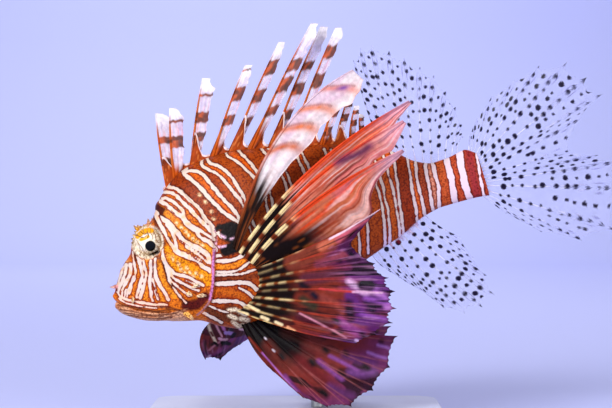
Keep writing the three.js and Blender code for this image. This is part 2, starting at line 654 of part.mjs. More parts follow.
for (const [name, form] of Object.entries(fleshParts())) {
  add(fish, name, geometryOf(form), name === 'lower_jaw' ? pale : flesh);
}
add(fish, 'eye_left', geometryOf(eyeForm(-1, 0)), eyeLook);
add(fish, 'eye_right', geometryOf(eyeForm(1, 0)), eyeLook);

const fins = {
  dorsal_fin_spiny: [spinyBackFin, finLook],
  dorsal_fin_soft: [softBackFin, clearFin],
  anal_fin: [analFin, clearFin],
  caudal_fin: [caudalFin, clearFin],
  pectoral_fin_left: [() => pectoralFin(LEFT_FREE_RAYS, LEFT_FAN_RAYS, -1), finLook],
  pectoral_fin_right: [() => pectoralFin(RIGHT_FREE_RAYS, RIGHT_FAN_RAYS, 1), finLook],
  pelvic_fin_left: [() => pelvicFin(-1), finLook],
  pelvic_fin_right: [() => pelvicFin(1), finLook],
};
const clearOfBody = bodySolid(GAP, false).add(bodySolid(GAP, true).intersect(headward));
for (const [name, [build, material]] of Object.entries(fins)) {
  add(fish, name, geometryOf(build().subtract(clearOfBody)), material);
}

add(part, 'stand_base', geometryOf(solid(standBase())), baseLook);
add(part, 'stand_rod', geometryOf(standRod(fish)), rodLook);

export default part;
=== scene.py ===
"""Red lionfish, life size, as a still museum model on a stand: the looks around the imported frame."""
import math

import bpy
import numpy as np
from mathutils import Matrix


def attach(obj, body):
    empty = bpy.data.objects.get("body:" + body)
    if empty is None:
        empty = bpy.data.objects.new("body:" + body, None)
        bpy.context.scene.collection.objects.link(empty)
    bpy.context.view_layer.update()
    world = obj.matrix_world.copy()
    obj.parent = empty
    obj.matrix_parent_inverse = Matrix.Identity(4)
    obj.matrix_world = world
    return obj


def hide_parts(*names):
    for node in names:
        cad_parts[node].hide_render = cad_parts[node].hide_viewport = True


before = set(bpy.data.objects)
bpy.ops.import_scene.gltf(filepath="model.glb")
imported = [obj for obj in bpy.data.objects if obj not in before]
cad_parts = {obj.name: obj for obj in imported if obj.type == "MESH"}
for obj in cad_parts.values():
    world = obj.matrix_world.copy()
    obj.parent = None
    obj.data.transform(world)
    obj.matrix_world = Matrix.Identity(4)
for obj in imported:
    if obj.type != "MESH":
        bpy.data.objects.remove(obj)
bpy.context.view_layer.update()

# Camera. The photograph was taken level, from the fish's left, with a medium telephoto lens.
# Its frame is 355 mm wide where the fish hangs, so one of its pixels is 0.58 mm there.
MM = 0.001
CAMERA_AT = np.array((5.8, -986.0, 129.5))
PHOTO_MIDDLE = np.array((306.0, 204.0))
PIXEL = 0.58

camera = bpy.data.objects.new("camera", bpy.data.cameras.new("camera"))
camera.location = CAMERA_AT * MM
camera.rotation_euler = (math.pi / 2, 0, 0)
camera.data.lens = 100
camera.data.sensor_width = 36
bpy.context.scene.collection.objects.link(camera)
bpy.context.scene.camera = camera

# The fish's own frame: u runs from the lips to the tail, v across it, w up, in millimetres.
# The fish hangs nose down on its rod, so its frame is pitched and lifted.
PITCH = math.radians(17)
LIP_AT = np.array((-105.0, 0.0, 78.5))


def standing(places):
    """Millimetres in the fish's frame, as millimetres over the middle of the stand."""
    u, v, w = np.moveaxis(np.asarray(places, float), -1, 0)
    x = LIP_AT[0] + u * math.cos(PITCH) - w * math.sin(PITCH)
    z = LIP_AT[2] + u * math.sin(PITCH) + w * math.cos(PITCH)
    return np.stack([x, v, z], -1)


def on_photo(places):
    """Where places of the fish's frame show in the photograph. The right flank mirrors the left."""
    x, y, z = np.moveaxis(standing(places), -1, 0)
    deep = 1 - np.abs(y) / -CAMERA_AT[1]
    right = (x - CAMERA_AT[0]) / (PIXEL * deep)
    up = (z - CAMERA_AT[2]) / (PIXEL * deep)
    return np.stack([PHOTO_MIDDLE[0] + right, PHOTO_MIDDLE[1] - up], -1)


# Skin. One cast skin covers head, jaw, trunk and tail stalk, without a seam.
# Its section follows the back, the belly and the width of the fish, and its lips,
# gill cover, brow and cheek ridges are raised in it.
# Tables of the smooth body: distance from the lips, then the value there, in mm. A squareness of
# 2 makes an oval section and more makes a squarer one, and the keel narrows it towards the back.
BACK = [
    (-1.6, -6), (-1, -2.5), (2.6, 4.7), (9.7, 14), (15.1, 18.6), (18.8, 25), (22.7, 29.8), (27.8, 31.8),
    (31.5, 32.6), (35.2, 36.5), (41.1, 44.5), (45.9, 49), (56.4, 55.5), (66.2, 58), (77.4, 58.8),
    (88.8, 58.4), (99.3, 56.4), (118, 51.6), (132, 48.6), (150, 43.8), (169, 36.4), (179.6, 29.6),
    (189, 21.5), (198.8, 17.8), (206.9, 18), (217.8, 19.6), (224, 16),
]
BELLY = [
    (-1.6, -8.5), (-0.6, -12), (4.3, -16.2), (14.5, -22), (25.6, -25.6), (33.9, -28), (42.7, -30.4),
    (52.5, -36.7), (65.8, -42), (80, -42.6), (93.7, -40.8), (120.1, -33.7), (146.6, -24.2),
    (154.7, -21.6), (169.5, -17), (183.6, -10.8), (197.1, -8.4), (213.9, -8.8), (224, -10),
]
HALF_WIDTH = [
    (-1.6, 1.5), (0, 5.4), (4, 9.4), (12, 13), (20, 15.4), (27, 17.4), (40, 20.4), (55, 22.6), (70, 24),
    (90, 23.4), (110, 21), (130, 17.5), (150, 13.6), (170, 10), (190, 7.4), (205, 6), (216, 5), (224, 3.8),
]
SQUARENESS = [(0, 2.4), (20, 3.1), (34, 3.1), (50, 2.5), (80, 2.2), (224, 2)]
KEEL = [(30, 0), (80, 0.16), (224, 0.1)]
MOUTH_LINE = [
    (-6, -3.2), (-1.2, -5.4), (1.8, -7.6), (6.8, -11.4), (13.1, -15), (20.7, -18.2), (28.5, -20.6),
]
GILL_EDGE = [
    (48, 62), (55.5, 44), (65.3, 20.6), (64.4, 12.2), (62.8, 4.2), (60.6, -4.4), (58.2, -10.8),
    (54.8, -18.4), (48.6, -25), (42, -46),
]
EYE_AT = (28.6, 10.9, 22.2)
EYE_RADIUS = 8.2
EYE_DEPTH = 6
HEAD_END = 66
TAIL_END = 224


def along(table, u):
    """Reads a table of (distance, value) rows as one smooth curve that never overshoots."""
    x, y = np.array(table, float).T
    slope = np.diff(y) / np.diff(x)
    before, after = slope[:-1], slope[1:]
    turns = before * after <= 0
    tangent = np.concatenate([slope[:1], slope])
    tangent[1:-1] = np.where(turns, 0, 2 * before * after / np.where(turns, 1, before + after))
    u = np.clip(u, x[0], x[-1])
    k = np.clip(np.searchsorted(x, u, side="right") - 1, 0, len(x) - 2)
    step = x[k + 1] - x[k]
    t = (u - x[k]) / step
    rise = y[k + 1] - y[k]
    start = tangent[k] * step
    end = tangent[k + 1] * step
    return y[k] + start * t + (3 * rise - 2 * start - end) * t**2 + (start + end - 2 * rise) * t**3


def smooth(low, high, x):
    """Goes from 0 to 1 as x goes from low to high, with soft ends."""
    t = np.clip((x - low) / (high - low), 0, 1)
    return t * t * (3 - 2 * t)


def from_line(line, x, y):
    """Distance of points from a line of straight stretches."""
    best = np.full(np.shape(x), np.inf)
    for (ax, ay), (bx, by) in zip(line[:-1], line[1:]):
        t = np.clip(((x - ax) * (bx - ax) + (y - ay) * (by - ay)) / ((bx - ax) ** 2 + (by - ay) ** 2), 0, 1)
        best = np.minimum(best, np.hypot(x - ax - t * (bx - ax), y - ay - t * (by - ay)))
    return best


def behind_gill(u, w):
    """How far behind the free edge of the gill cover a place is."""
    line = sorted((w_, u_) for u_, w_ in GILL_EDGE)
    return u - np.interp(w, [row[0] for row in line], [row[1] for row in line])


def middle_and_half(u):
    """The height of the body's middle at u, and half its height."""
    top, bottom = along(BACK, u), along(BELLY, u)
    return (top + bottom) / 2, (top - bottom) / 2


def ring_points(u, angle):
    """The smooth body: where a ring round it at u lies, with angle 0 on the back."""
    middle, tall = middle_and_half(u)
    power = 2 / along(SQUARENESS, u)
    rise = np.sign(np.cos(angle)) * np.abs(np.cos(angle)) ** power
    across = along(HALF_WIDTH, u) * np.sign(np.sin(angle)) * np.abs(np.sin(angle)) ** power
    return np.stack([u, across * (1 - along(KEEL, u) * np.maximum(0, rise)), middle + tall * rise], -1)


def bump(u, w, at, size, height):
    """A soft round rise on the flank."""
    return height * np.exp(-(((u - at[0]) / size[0]) ** 2) - ((w - at[1]) / size[1]) ** 2)


def ridge(u, w, line, width, height):
    """A soft rise along a line on the flank."""
    return height * np.exp(-((from_line(line, u, w) / width) ** 2))


# Ridges of lips, cheek and temple: width and height in mm, then points seen from the side.
RIDGES = [
    (2, 1.1, [(13, 5.5), (24, 10.5), (36, 9.5), (50, 6)]),
    (2.2, 0.9, [(38, 20), (48, 24), (60, 27)]),
    (1.7, 1.4, [(0, -2.4), (2.3, -5), (6.4, -8.6), (12.4, -12), (20, -15.2), (27, -17.6)]),
    (1.7, 1.4, [(-0.4, -8.4), (5, -13.6), (11, -17.2), (20, -20.8)]),
]
NOSTRIL_AT = (8.4, 9.6)
NAPE_KNOB_AT = (37, 42)
JAW_FOLDS = [
    [(1, -11), (9, -16), (19, -19.2), (30, -22)], [(4, -14.6), (13, -19.6), (24, -22.6), (35, -24)],
    [(12, -21.6), (24, -25), (36, -26.4)],
]
FIN_ROOT_AT = (74, -13)
FIN_ROOT_SIZE = (9, 17)
FIN_ROOT_RISE = 2.6
ORBIT_RADIUS = 9.4
SOCKET_DEPTH = 5
# How far the skin lies below the smooth body, which leaves room for the scales.
SCALE_DEPTH = 0.15


def relief(u, w):
    """How far the skin stands out from the smooth body."""
    gill = behind_gill(u, w)
    flap_reach = smooth(-26, -18, w) * (1 - smooth(40, 50, w))
    from_eye = np.hypot(u - EYE_AT[0], w - EYE_AT[2])
    head = sum(ridge(u, w, line, width, height) for width, height, line in RIDGES)
    head += bump(u, w, NAPE_KNOB_AT, (2.6, 3), 1.6) + bump(u, w, NOSTRIL_AT, (1.8, 1.8), 0.9)
    head += 0.6 * np.exp(-(((from_eye - ORBIT_RADIUS) / 2.2) ** 2))
    flap = 1.3 * np.exp(-((gill / 6) ** 2)) * flap_reach
    slit = -1.1 * np.exp(-(((gill - 0.9) / 0.7) ** 2)) * flap_reach
    trunk = bump(u, w, FIN_ROOT_AT, FIN_ROOT_SIZE, FIN_ROOT_RISE) + slit
    height = np.where(u < 110, head + flap + smooth(-0.2, 0.6, gill) * (trunk - flap), 0)
    height -= 1.5 * np.exp(-((from_line(MOUTH_LINE, u, w) / 0.5) ** 2)) * (u < 32)
    height -= bump(u, w, NOSTRIL_AT, (0.8, 0.8), 1.8)
    for line in JAW_FOLDS:
        height -= ridge(u, w, line, 0.45, 0.35) * (u < 45)
    socket = 1 - smooth(6.9, 8, from_eye)
    return height * (1 - socket) - SOCKET_DEPTH * socket


def hex_colour(code):
    """An sRGB hex colour as linear red, green, blue."""
    parts = np.array([int(code[k:k + 2], 16) / 255 for k in (1, 3, 5)])
    return np.where(parts <= 0.04045, parts / 12.92, ((parts + 0.055) / 1.055) ** 2.4)


def blend(a, b, share):
    """Mixes colours by a share from 0 to 1. A colour may be a hex code."""
    a, b = (hex_colour(c) if isinstance(c, str) else c for c in (a, b))
    return a + (b - a) * np.asarray(share)[..., None]


def curved(points, steps=5):
    """A smooth line through given points."""
    p = np.array(points, float)
    if len(p) < 3:
        return p
    p = np.vstack([2 * p[0] - p[1], p, 2 * p[-1] - p[-2]])
    t = np.linspace(0, 1, steps, endpoint=False)[:, None]
    runs = [
        0.5 * (2 * b + (c - a) * t + (2 * a - 5 * b + 4 * c - d) * t**2 + (3 * b - a - 3 * c + d) * t**3)
        for a, b, c, d in zip(p[:-3], p[1:-2], p[2:-1], p[3:])
    ]
    return np.vstack(runs + [p[-2]])


def near_line(line, spots, reach):
    """The points within reach of a line, and how far from it they are, in photograph pixels."""
    low, high = line.min(0) - reach, line.max(0) + reach
    near = np.flatnonzero(((spots > low) & (spots < high)).all(1))
    return near, from_line(line, spots[near, 0], spots[near, 1])


def paint(colours, spots, code, width, points, soft=0.7):
    """Brushes one stripe, width in millimetres, along points read off the photograph."""
    near, away = near_line(curved(points), spots, width / PIXEL + 3)
    cover = np.clip((width / 2 - away * PIXEL) / soft + 0.5, 0, 1)[:, None]
    colours[near] += (hex_colour(code) - colours[near]) * cover


def brushed(colours, spots, strokes, soft):
    """Colours with strokes brushed over them: each a colour, a width in millimetres and its points."""
    flat = colours.reshape(-1, 3).copy()
    for code, width, points in strokes:
        paint(flat, spots, code, width, points, soft)
    return flat.reshape(colours.shape)


def soft_noise(x, y, seed):
    """Smooth random values from 0 to 1 over a plane, with a new one at each unit."""
    draw = np.random.default_rng(seed).random((64, 64))
    i, j = np.floor(x).astype(int), np.floor(y).astype(int)
    f, g = smooth(0, 1, x - i), smooth(0, 1, y - j)
    low = draw[i % 64, j % 64] * (1 - f) + draw[(i + 1) % 64, j % 64] * f
    high = draw[i % 64, (j + 1) % 64] * (1 - f) + draw[(i + 1) % 64, (j + 1) % 64] * f
    return low * (1 - g) + high * g


# The stripes, as the photograph shows them: width in mm, then points in its pixels.
# White lines of the brow, temple and nape.
NAPE_LINES = [
    (2.8, [(155, 213), (160.6, 218.8), (169.2, 223.5), (177.6, 233.4), (183.7, 240.5), (191.8, 245),
           (200, 248.7), (207.1, 254.8), (210.5, 262)]),
    (1.5, [(186.7, 246.6), (198, 253.8), (208, 263)]),
    (1.9, [(155.6, 215.5), (163.3, 230.3), (167.3, 238.5), (173.5, 247.7)]),
    (1.7, [(166.3, 224.2), (173.5, 235.4), (176.5, 244.6), (175, 249)]),
    (2.9, [(175.5, 249.7), (181.6, 253.8), (187.8, 256.3), (197, 260), (202, 264.5), (210.2, 271)]),
    (2.2, [(160.6, 201.4), (167.8, 206.5), (173.9, 211.6), (182, 216.7), (187, 223.9), (195.3, 230.5),
         (201, 237.4), (208, 241.5), (214, 246.6), (216, 250)]),
    (1.8, [(163, 199), (166, 198.4), (175, 203.5), (182, 210.6), (183.5, 214.5)]),
    (2.2, [(160, 193), (164.7, 192.2), (172.9, 193.3), (181, 200.4), (186, 205.5), (193.3, 213.7),
         (199.4, 219.8), (205.5, 224.9), (210.6, 230), (214.7, 235)]),
    (1.5, [(184.5, 217), (191, 225), (199.4, 229.5), (206.5, 234.5), (214.7, 240)]),
    (2.2, [(171.5, 173), (167.8, 184), (168.8, 186.5), (177, 189.2), (185, 195.3), (192.2, 202.4),
         (199.4, 209.6), (203.5, 216.7), (210.6, 223.9), (214.7, 229), (223.5, 238)]),
]
# White lines of the front trunk, from the back to the root of the breast fin.
TRUNK_LINES = [
    (2.3, [(186, 168), (184, 173.5), (191.2, 180), (199.4, 187), (207.6, 195.3), (214.7, 203.5),
           (221.8, 210.6), (231, 218), (240.2, 223.5)]),
    (2, [(184.5, 174), (191.2, 170.3), (201.4, 173.9), (208.6, 181), (214.7, 189.2), (220.8, 196.3),
         (228, 203.5), (234, 210.6), (240.6, 221)]),
    (1.6, [(202.5, 158), (201.4, 164.7), (208.6, 169.8), (216.7, 173.9), (224.9, 182), (232, 190.2),
           (239.2, 199.4), (244.3, 208.6), (247.3, 213)]),
    (1.7, [(206, 157), (209.6, 163.4), (217.8, 165.7), (225.9, 171.8), (233, 180), (238.2, 188.2),
           (243.3, 197.3), (247.5, 209)]),
    (1.4, [(224, 149), (227, 155.5), (234, 159.6), (242.2, 165.7), (249.4, 172.9), (255.5, 180),
           (260, 188), (263, 198)]),
    (1.6, [(237, 145), (238.5, 150.4), (244.3, 156.5), (250.4, 162.7), (255.5, 169.8), (259.6, 177),
           (263, 186), (266, 197)]),
    (1.4, [(260.5, 144), (261.6, 149.4), (266.7, 155.5), (271.8, 160.6), (280, 173), (285, 184), (288, 200)]),
    (1.3, [(264.5, 142), (266.5, 147), (272.9, 151.4), (281, 162), (286, 172), (290.5, 184), (293, 200)]),
    (1.4, [(292, 146), (299, 160), (307, 180), (312, 205), (315, 235), (318, 268)]),
    (1.4, [(299, 146), (306, 160), (313, 180), (318.5, 205), (322, 235), (324, 266)]),
    (1.4, [(324, 149), (330, 165), (336, 190), (339.5, 215), (342, 240), (343, 258)]),
    (1.4, [(331, 150), (337, 165), (342.5, 190), (346, 215), (348.5, 240), (349.5, 256)]),
    (1.4, [(245, 212), (250, 230), (257, 250), (266, 274), (272, 300)]),
    (1.4, [(250, 210), (255.5, 230), (263, 250), (271.6, 272), (278, 296)]),
    (1.3, [(264.6, 196), (270, 218), (277, 242), (284, 268), (288, 290)]),
    (1.3, [(269, 190), (275.6, 216), (282.6, 240), (289, 264), (294, 286)]),
    (1.3, [(288, 198), (293, 222), (298, 248), (303, 276)]),
    (1.3, [(293, 198), (298.4, 222), (303.4, 246), (308.4, 274)]),
    (1.3, [(226, 330), (240, 333), (256, 328), (270, 318)]),
]
# White and lilac line pairs of the rear trunk and the tail stalk.
REAR_LINES = [
    (1.2, [(352, 160), (354.4, 178), (355.6, 196), (358, 224), (358.9, 238.3), (359.9, 256)]),
    (1.5, [(355, 158), (359, 178), (362.8, 188.6), (364.7, 200), (366.6, 220.2), (368, 230.7), (368, 253)]),
    (1.4, [(366, 156), (370.4, 166.6), (374.2, 176), (378, 188.6), (381, 200), (382.8, 211.6), (384.3, 224),
           (384.8, 247)]),
    (1.4, [(373, 155), (376.6, 164.7), (380, 176), (383.8, 189.5), (386.7, 203.9), (388.6, 217.3),
           (390, 230.7), (389, 246)]),
    (1.4, [(382, 153), (385.2, 160.8), (388.6, 173.3), (392.4, 188.6), (395.3, 202), (397.7, 216.3),
           (399.6, 226.9), (400, 240)]),
    (1.5, [(391, 150), (393.4, 158), (396.2, 173.3), (397.7, 188.6), (399.1, 202), (402, 216.3),
           (403.4, 226.9), (404, 238)]),
    (1.5, [(407.5, 156), (408.6, 165), (410.6, 178), (412.5, 194.3), (415.4, 207.7), (418, 222)]),
    (1.7, [(416, 158), (416.3, 166), (416.8, 176), (418.8, 188.6), (422, 202), (425, 216)]),
    (2, [(425, 158), (425.8, 165), (427.3, 177), (430, 190.5), (432.5, 210)]),
    (2, [(432, 157), (433, 165), (436, 177), (438.3, 190.5), (439, 208)]),
    (3.6, [(445, 154), (447.4, 163), (450.8, 176), (453.2, 190.5), (456, 205)]),
    (3.8, [(458, 148), (460, 157), (462.8, 176), (467, 190.5), (472, 202)]),
    (1.4, [(473, 140), (477, 160), (480.6, 180), (484.6, 200)]),
]
# Cheek and snout lines, which run down from the eye.
CHEEK_LINES = [
    (1.8, [(160, 244), (162.6, 252), (165, 260), (169.4, 268), (175.8, 273.9), (185, 276.2), (194.2, 279.5),
           (203, 285)]),
    (1.5, [(162.6, 256), (165, 264), (170, 273.7), (176.7, 280.3), (183.3, 283.7), (190, 287), (198.3, 290)]),
    (1.2, [(165.6, 267), (167.8, 273), (171.7, 282), (179.2, 288.7), (185, 292.8), (189, 296.6)]),
    (1.1, [(168.3, 279), (173.3, 288.7), (180, 297), (186, 303)]),
    (1, [(186, 280.6), (192, 283), (199, 285.6)]),
    (1.2, [(132.4, 245), (133.3, 257), (135, 268.7), (135, 275.3), (131.7, 285.3), (129.2, 293.7)]),
    (2.2, [(136.4, 246), (138.6, 257), (141, 265.3), (142.4, 275.3), (140.4, 283), (137.2, 297)]),
    (2.2, [(142.4, 258.7), (145, 268.7), (145.4, 275.3), (143, 285.3), (140.6, 298)]),
    (1.9, [(151, 259), (151, 268.7), (149.2, 278.7), (150.6, 288.7), (152.6, 300)]),
    (2.1, [(155, 258), (154.8, 272), (156.5, 278.7), (161.7, 287), (168, 300)]),
    (1.2, [(152.8, 279), (155.4, 289), (158.4, 299)]),
    (2, [(130.4, 264), (130, 273.7), (125.8, 282), (121.7, 289)]),
    (1.7, [(133.6, 277), (131.8, 283), (128.6, 290), (127.2, 296)]),
    (1.9, [(126.5, 265), (125, 273.7), (122.3, 279.8), (119, 287)]),
    (1.5, [(123.2, 267.4), (121.4, 273), (119.2, 279), (117.8, 284)]),
    (1.4, [(125.6, 289.5), (124.6, 296)]),
    (1.3, [(121.8, 291.6), (121.6, 296.4)]),
    (1.3, [(118.4, 288.5), (118.2, 293)]),
    (1.3, [(117, 291.6), (120.4, 296.4), (130.8, 300.2), (143.3, 302.6), (156, 304), (167, 305)]),
    (0.7, [(118.5, 298), (126, 303), (140, 306), (156, 307.6)]),
]
# Thin orange lines inside the white of face and nape: width in mm, then points.
INNER_LINES = [
    (0.5, [(139.9, 248), (142.4, 258), (143.3, 268.7), (144, 276), (141, 287), (138.8, 296)]),
    (0.5, [(153.3, 259.5), (153, 272), (151.6, 278.7), (156.7, 292.8), (160, 301)]),
    (0.5, [(128.2, 266), (127.4, 275.3), (123.6, 282), (120, 289.4)]),
    (0.6, [(158.6, 216), (164, 226), (170.6, 235.4), (174.4, 244)]),
    (0.6, [(180.6, 240), (188, 245), (197, 250.4), (206, 257.6)]),
    (0.5, [(164.7, 205.3), (170, 210), (176.6, 215.3)]),
    (0.6, [(186, 252), (193, 256.8), (203, 263), (209, 267)]),
]
# Pale bands of the chest, between the gill cover and the root of the breast fin.
CHEST_LINES = [
    (1.7, [(216.6, 256), (223, 255), (230.6, 253.4), (238, 250.5)]),
    (2.3, [(215.6, 260.9), (223, 260.7), (230.6, 260.3), (236, 258.8), (243, 254.5)]),
    (1.3, [(214.8, 271.2), (224.5, 272.4), (233.7, 271.8), (241.3, 268.8), (247.4, 264), (253.6, 259),
           (259.7, 254)]),
    (1.3, [(214.8, 274.8), (233.7, 275.3), (242.8, 273.9), (252, 270.8), (259.7, 268)]),
    (2.4, [(214.4, 283.4), (230.6, 283.2), (242.8, 282.9), (250.5, 284), (256.5, 288.8)]),
    (1.4, [(239.5, 288), (247.4, 291.7), (254, 297)]),
    (2.3, [(213, 300.9), (223, 301.6), (230.6, 301), (238.3, 302), (246.5, 306.5)]),
    (1, [(209, 306), (219.9, 311), (228, 313)]),
    (1.6, [(203, 313), (213.8, 318.5), (222, 323)]),
]
# Warm ground between and beside the lines: colour, width in mm, points.
WARM_BANDS = [
    ("#E06410", 4.6, [(173, 191), (181, 196), (190, 206), (200, 217), (208, 226), (216, 235)]),
    ("#E87A22", 2.4, [(171, 201), (177, 205.5), (181, 210.5)]),
    ("#E06410", 3, [(190, 173.5), (200, 179), (208, 188), (218, 200), (229, 212), (239, 221)]),
    ("#E06410", 2.4, [(206, 165), (216, 169.5), (226, 177), (235, 188), (242, 200), (246, 210)]),
    ("#DC5C0C", 2.6, [(232, 154), (240, 159), (249, 167), (256, 176), (261, 186)]),
    ("#DC5C0C", 2, [(263, 146), (270, 154), (279, 166), (286, 180)]),
    ("#DC5C0C", 2.8, [(296, 148), (303, 162), (310, 182), (315, 206), (319, 236), (321, 266)]),
    ("#DC5C0C", 2.8, [(328, 151), (334, 166), (339, 190), (343, 216), (345, 240), (346, 256)]),
    ("#DC5414", 2.4, [(354, 160), (357, 184), (360.5, 200), (362.5, 225), (364, 252)]),
    ("#E2601C", 2.2, [(370, 157), (375, 170), (380.5, 189), (384, 205), (386.3, 222), (387, 246)]),
    ("#E2601C", 2.6, [(387, 154), (391, 168), (395, 188), (397, 203), (400, 220), (401.6, 238)]),
    ("#EE6E2A", 2.6, [(412, 158), (412.4, 170), (414.4, 186), (417.4, 202), (421, 218)]),
    ("#F0A080", 2.2, [(429, 158), (430.4, 172), (434, 190), (436, 208)]),
    ("#F0901A", 3.4, [(158.6, 260), (160, 269), (163, 279), (168, 288), (174, 296)]),
    ("#F4960C", 8.5, [(168, 253), (175, 261), (185, 268), (196, 273.5), (206, 279)]),
    ("#EE8A12", 3.8, [(167, 214), (172.5, 219), (181, 227), (190, 235), (199, 241.5), (209, 249)]),
    ("#F2982A", 3, [(173, 235), (178, 246), (187, 251), (198, 256.5), (207, 265)]),
    ("#F0A020", 3, [(196, 242), (203, 247), (209, 252)]),
    ("#F09018", 1.2, [(161, 222), (167, 233), (172, 242)]),
    ("#F08A18", 2.6, [(147.8, 259), (148.2, 270), (146.6, 280), (145.8, 290), (146, 300)]),
    ("#EE8A1C", 2.6, [(156, 282), (159, 291), (163, 300)]),
    ("#E27A18", 2, [(137.6, 262), (139, 272), (137, 282), (133.4, 294)]),
    ("#F0A860", 5, [(127, 264), (123, 275), (120, 287)]),
    ("#F08A1A", 3.4, [(217, 266), (226, 267), (235, 265.4), (243, 261)]),
    ("#C9600F", 3.6, [(215, 291.5), (226, 292), (236, 293), (244, 297)]),
    ("#E06A14", 2.6, [(250, 291), (256, 296), (262, 302)]),
]
# Brown bands: colour, width in mm, points.
BROWN_BANDS = [
    ("#7A2F12", 2.6, [(152.5, 212), (157, 226), (161.5, 238), (164.5, 249), (165.5, 256)]),
    ("#4A1A10", 4.4, [(155, 206), (160, 210), (164, 213)]),
    ("#963606", 7.6, [(173, 180), (183, 184.5), (193.3, 192.5), (205.5, 204), (214, 214), (224, 223),
                      (233, 231)]),
    ("#9E3A08", 3, [(205, 172), (212, 178), (219, 188), (226, 196.5), (234, 205), (243, 214)]),
    ("#A8440A", 13, [(214, 161), (225, 165), (237, 176), (246, 189), (253, 203), (257, 216)]),
    ("#A8420A", 10, [(248, 147), (258, 156), (268, 170), (276, 185), (281, 205), (286, 235), (290, 262)]),
    ("#A43E0A", 12, [(282, 146), (292, 165), (300, 190), (305, 215), (309, 245), (312, 272)]),
    ("#AE460A", 7.5, [(312, 147), (320, 165), (327, 190), (331, 215), (334, 240), (336, 264)]),
    ("#C2560F", 6.5, [(343, 150), (348, 170), (351, 195), (353, 225), (354, 258)]),
    ("#B84C10", 7, [(361, 160), (366, 176), (371, 190), (373.5, 206), (375.5, 225), (377, 252)]),
    ("#D05C18", 5.4, [(378, 157), (383, 170), (388, 190), (391, 205), (393, 222), (395, 244)]),
    ("#9C340C", 7, [(400, 152), (401.5, 170), (404.5, 190), (407, 205), (410, 220), (412, 236)]),
    ("#B04A22", 4, [(421, 158), (421.8, 172), (424.6, 190), (428, 207)]),
    ("#D0601C", 5.4, [(438.5, 155), (441.6, 172), (445, 190), (448, 206)]),
    ("#CC5414", 3.4, [(453, 150), (455, 168), (458.6, 185), (462, 200)]),
    ("#8E2A2A", 4.6, [(468, 146), (470.5, 165), (474, 182), (478, 200)]),
    ("#5A140C", 6, [(186, 306), (197, 304), (205, 296)]),
    ("#5E1E08", 1.8, [(163.4, 262), (166, 274), (170.6, 284), (177, 294), (184, 303)]),
    ("#6A2A0A", 1.6, [(134.3, 246), (135.3, 254), (137, 262)]),
    ("#5A1C08", 0.9, [(167, 250), (174, 254), (182, 259), (188, 262)]),
    ("#5A1C08", 1, [(166.4, 259), (171, 268), (177, 272.5), (186, 275), (197, 279), (206, 283)]),
    ("#5A1E0A", 1.2, [(160, 208), (170, 215), (181, 224), (193, 234), (206, 245), (213, 250)]),
    ("#6A220C", 1.2, [(158, 213), (166, 219), (175, 227), (184, 236), (194, 243), (205, 251)]),
    ("#8A2E0C", 1.2, [(166, 268), (172, 277), (180, 284), (190, 290), (197, 294)]),
    ("#8A3A12", 3.4, [(215, 278.6), (230, 279.4), (246, 278.4), (256, 276)]),
    ("#6E3216", 3.6, [(207, 309), (214, 313), (222, 318), (230, 320)]),
]
# Cream dots, cream patches of the chest, painted shade in the creases of the jaw, the gill cover's
# lilac rim, the black armpit behind it as painted shade, and painted pink highlights there.
PALE_DOTS = [
    (175.8, 222.5), (180.8, 227), (185, 230.8), (188.3, 234.2), (193, 238), (197.4, 241.4), (202, 244.8),
    (178.8, 264), (180.8, 269), (186.7, 267.8), (190, 272.4), (196.3, 272.4), (201.3, 275.3), (193.3, 276.2),
    (184.6, 272.6), (172.6, 258), (205, 201), (210.6, 210.6), (199, 194), (213, 218),
]
CHEST_PATCHES = [
    [(228.5, 310.5), (235, 309.5)], [(239, 311.5), (246, 314.5)], [(229.5, 316), (236, 318.5)],
    [(240.5, 318.6), (248, 320.4)], [(233.5, 323), (239, 327)], [(243, 325), (249, 327)],
]
JAW_CREASE_SHADE = [
    [(118, 305), (130, 306.5), (146, 309.5), (158, 311), (170, 309.5)],
    [(120, 309.5), (134, 312), (150, 315), (166, 314.5), (178, 312)],
    [(128, 315.5), (142, 317.6), (158, 319), (172, 317)],
    [(160, 306.5), (170, 307.5), (178, 309.5), (186, 313)],
    [(124, 313), (138, 315), (154, 316.6), (164, 316)],
    [(140, 307), (152, 306.4), (166, 308.4), (180, 310.6)],
]
GILL_RIM = [(214.5, 250), (213.6, 258), (213, 266), (212.6, 282), (210, 299), (203, 309.5), (197, 314.5)]
ARMPIT_SHADE_LINE = [
    (220, 229.5), (229, 228), (238, 227), (235, 234), (228, 236), (233, 243), (239, 239),
    (232, 248), (225, 251),
]
# Painted pink highlights in the dark hollow behind the gill cover: width in mm, then points.
GILL_CORNER_HIGHLIGHTS = [
    (1.6, [(213.4, 229), (215.4, 236), (215.4, 243), (214.2, 250)]),
    (1.5, [(216.6, 234), (221, 236), (224.6, 237.6)]),
    (1.2, [(217, 246.6), (221, 247), (225.4, 246)]),
    (1.1, [(230.4, 239.4), (233.6, 238.2)]),
]
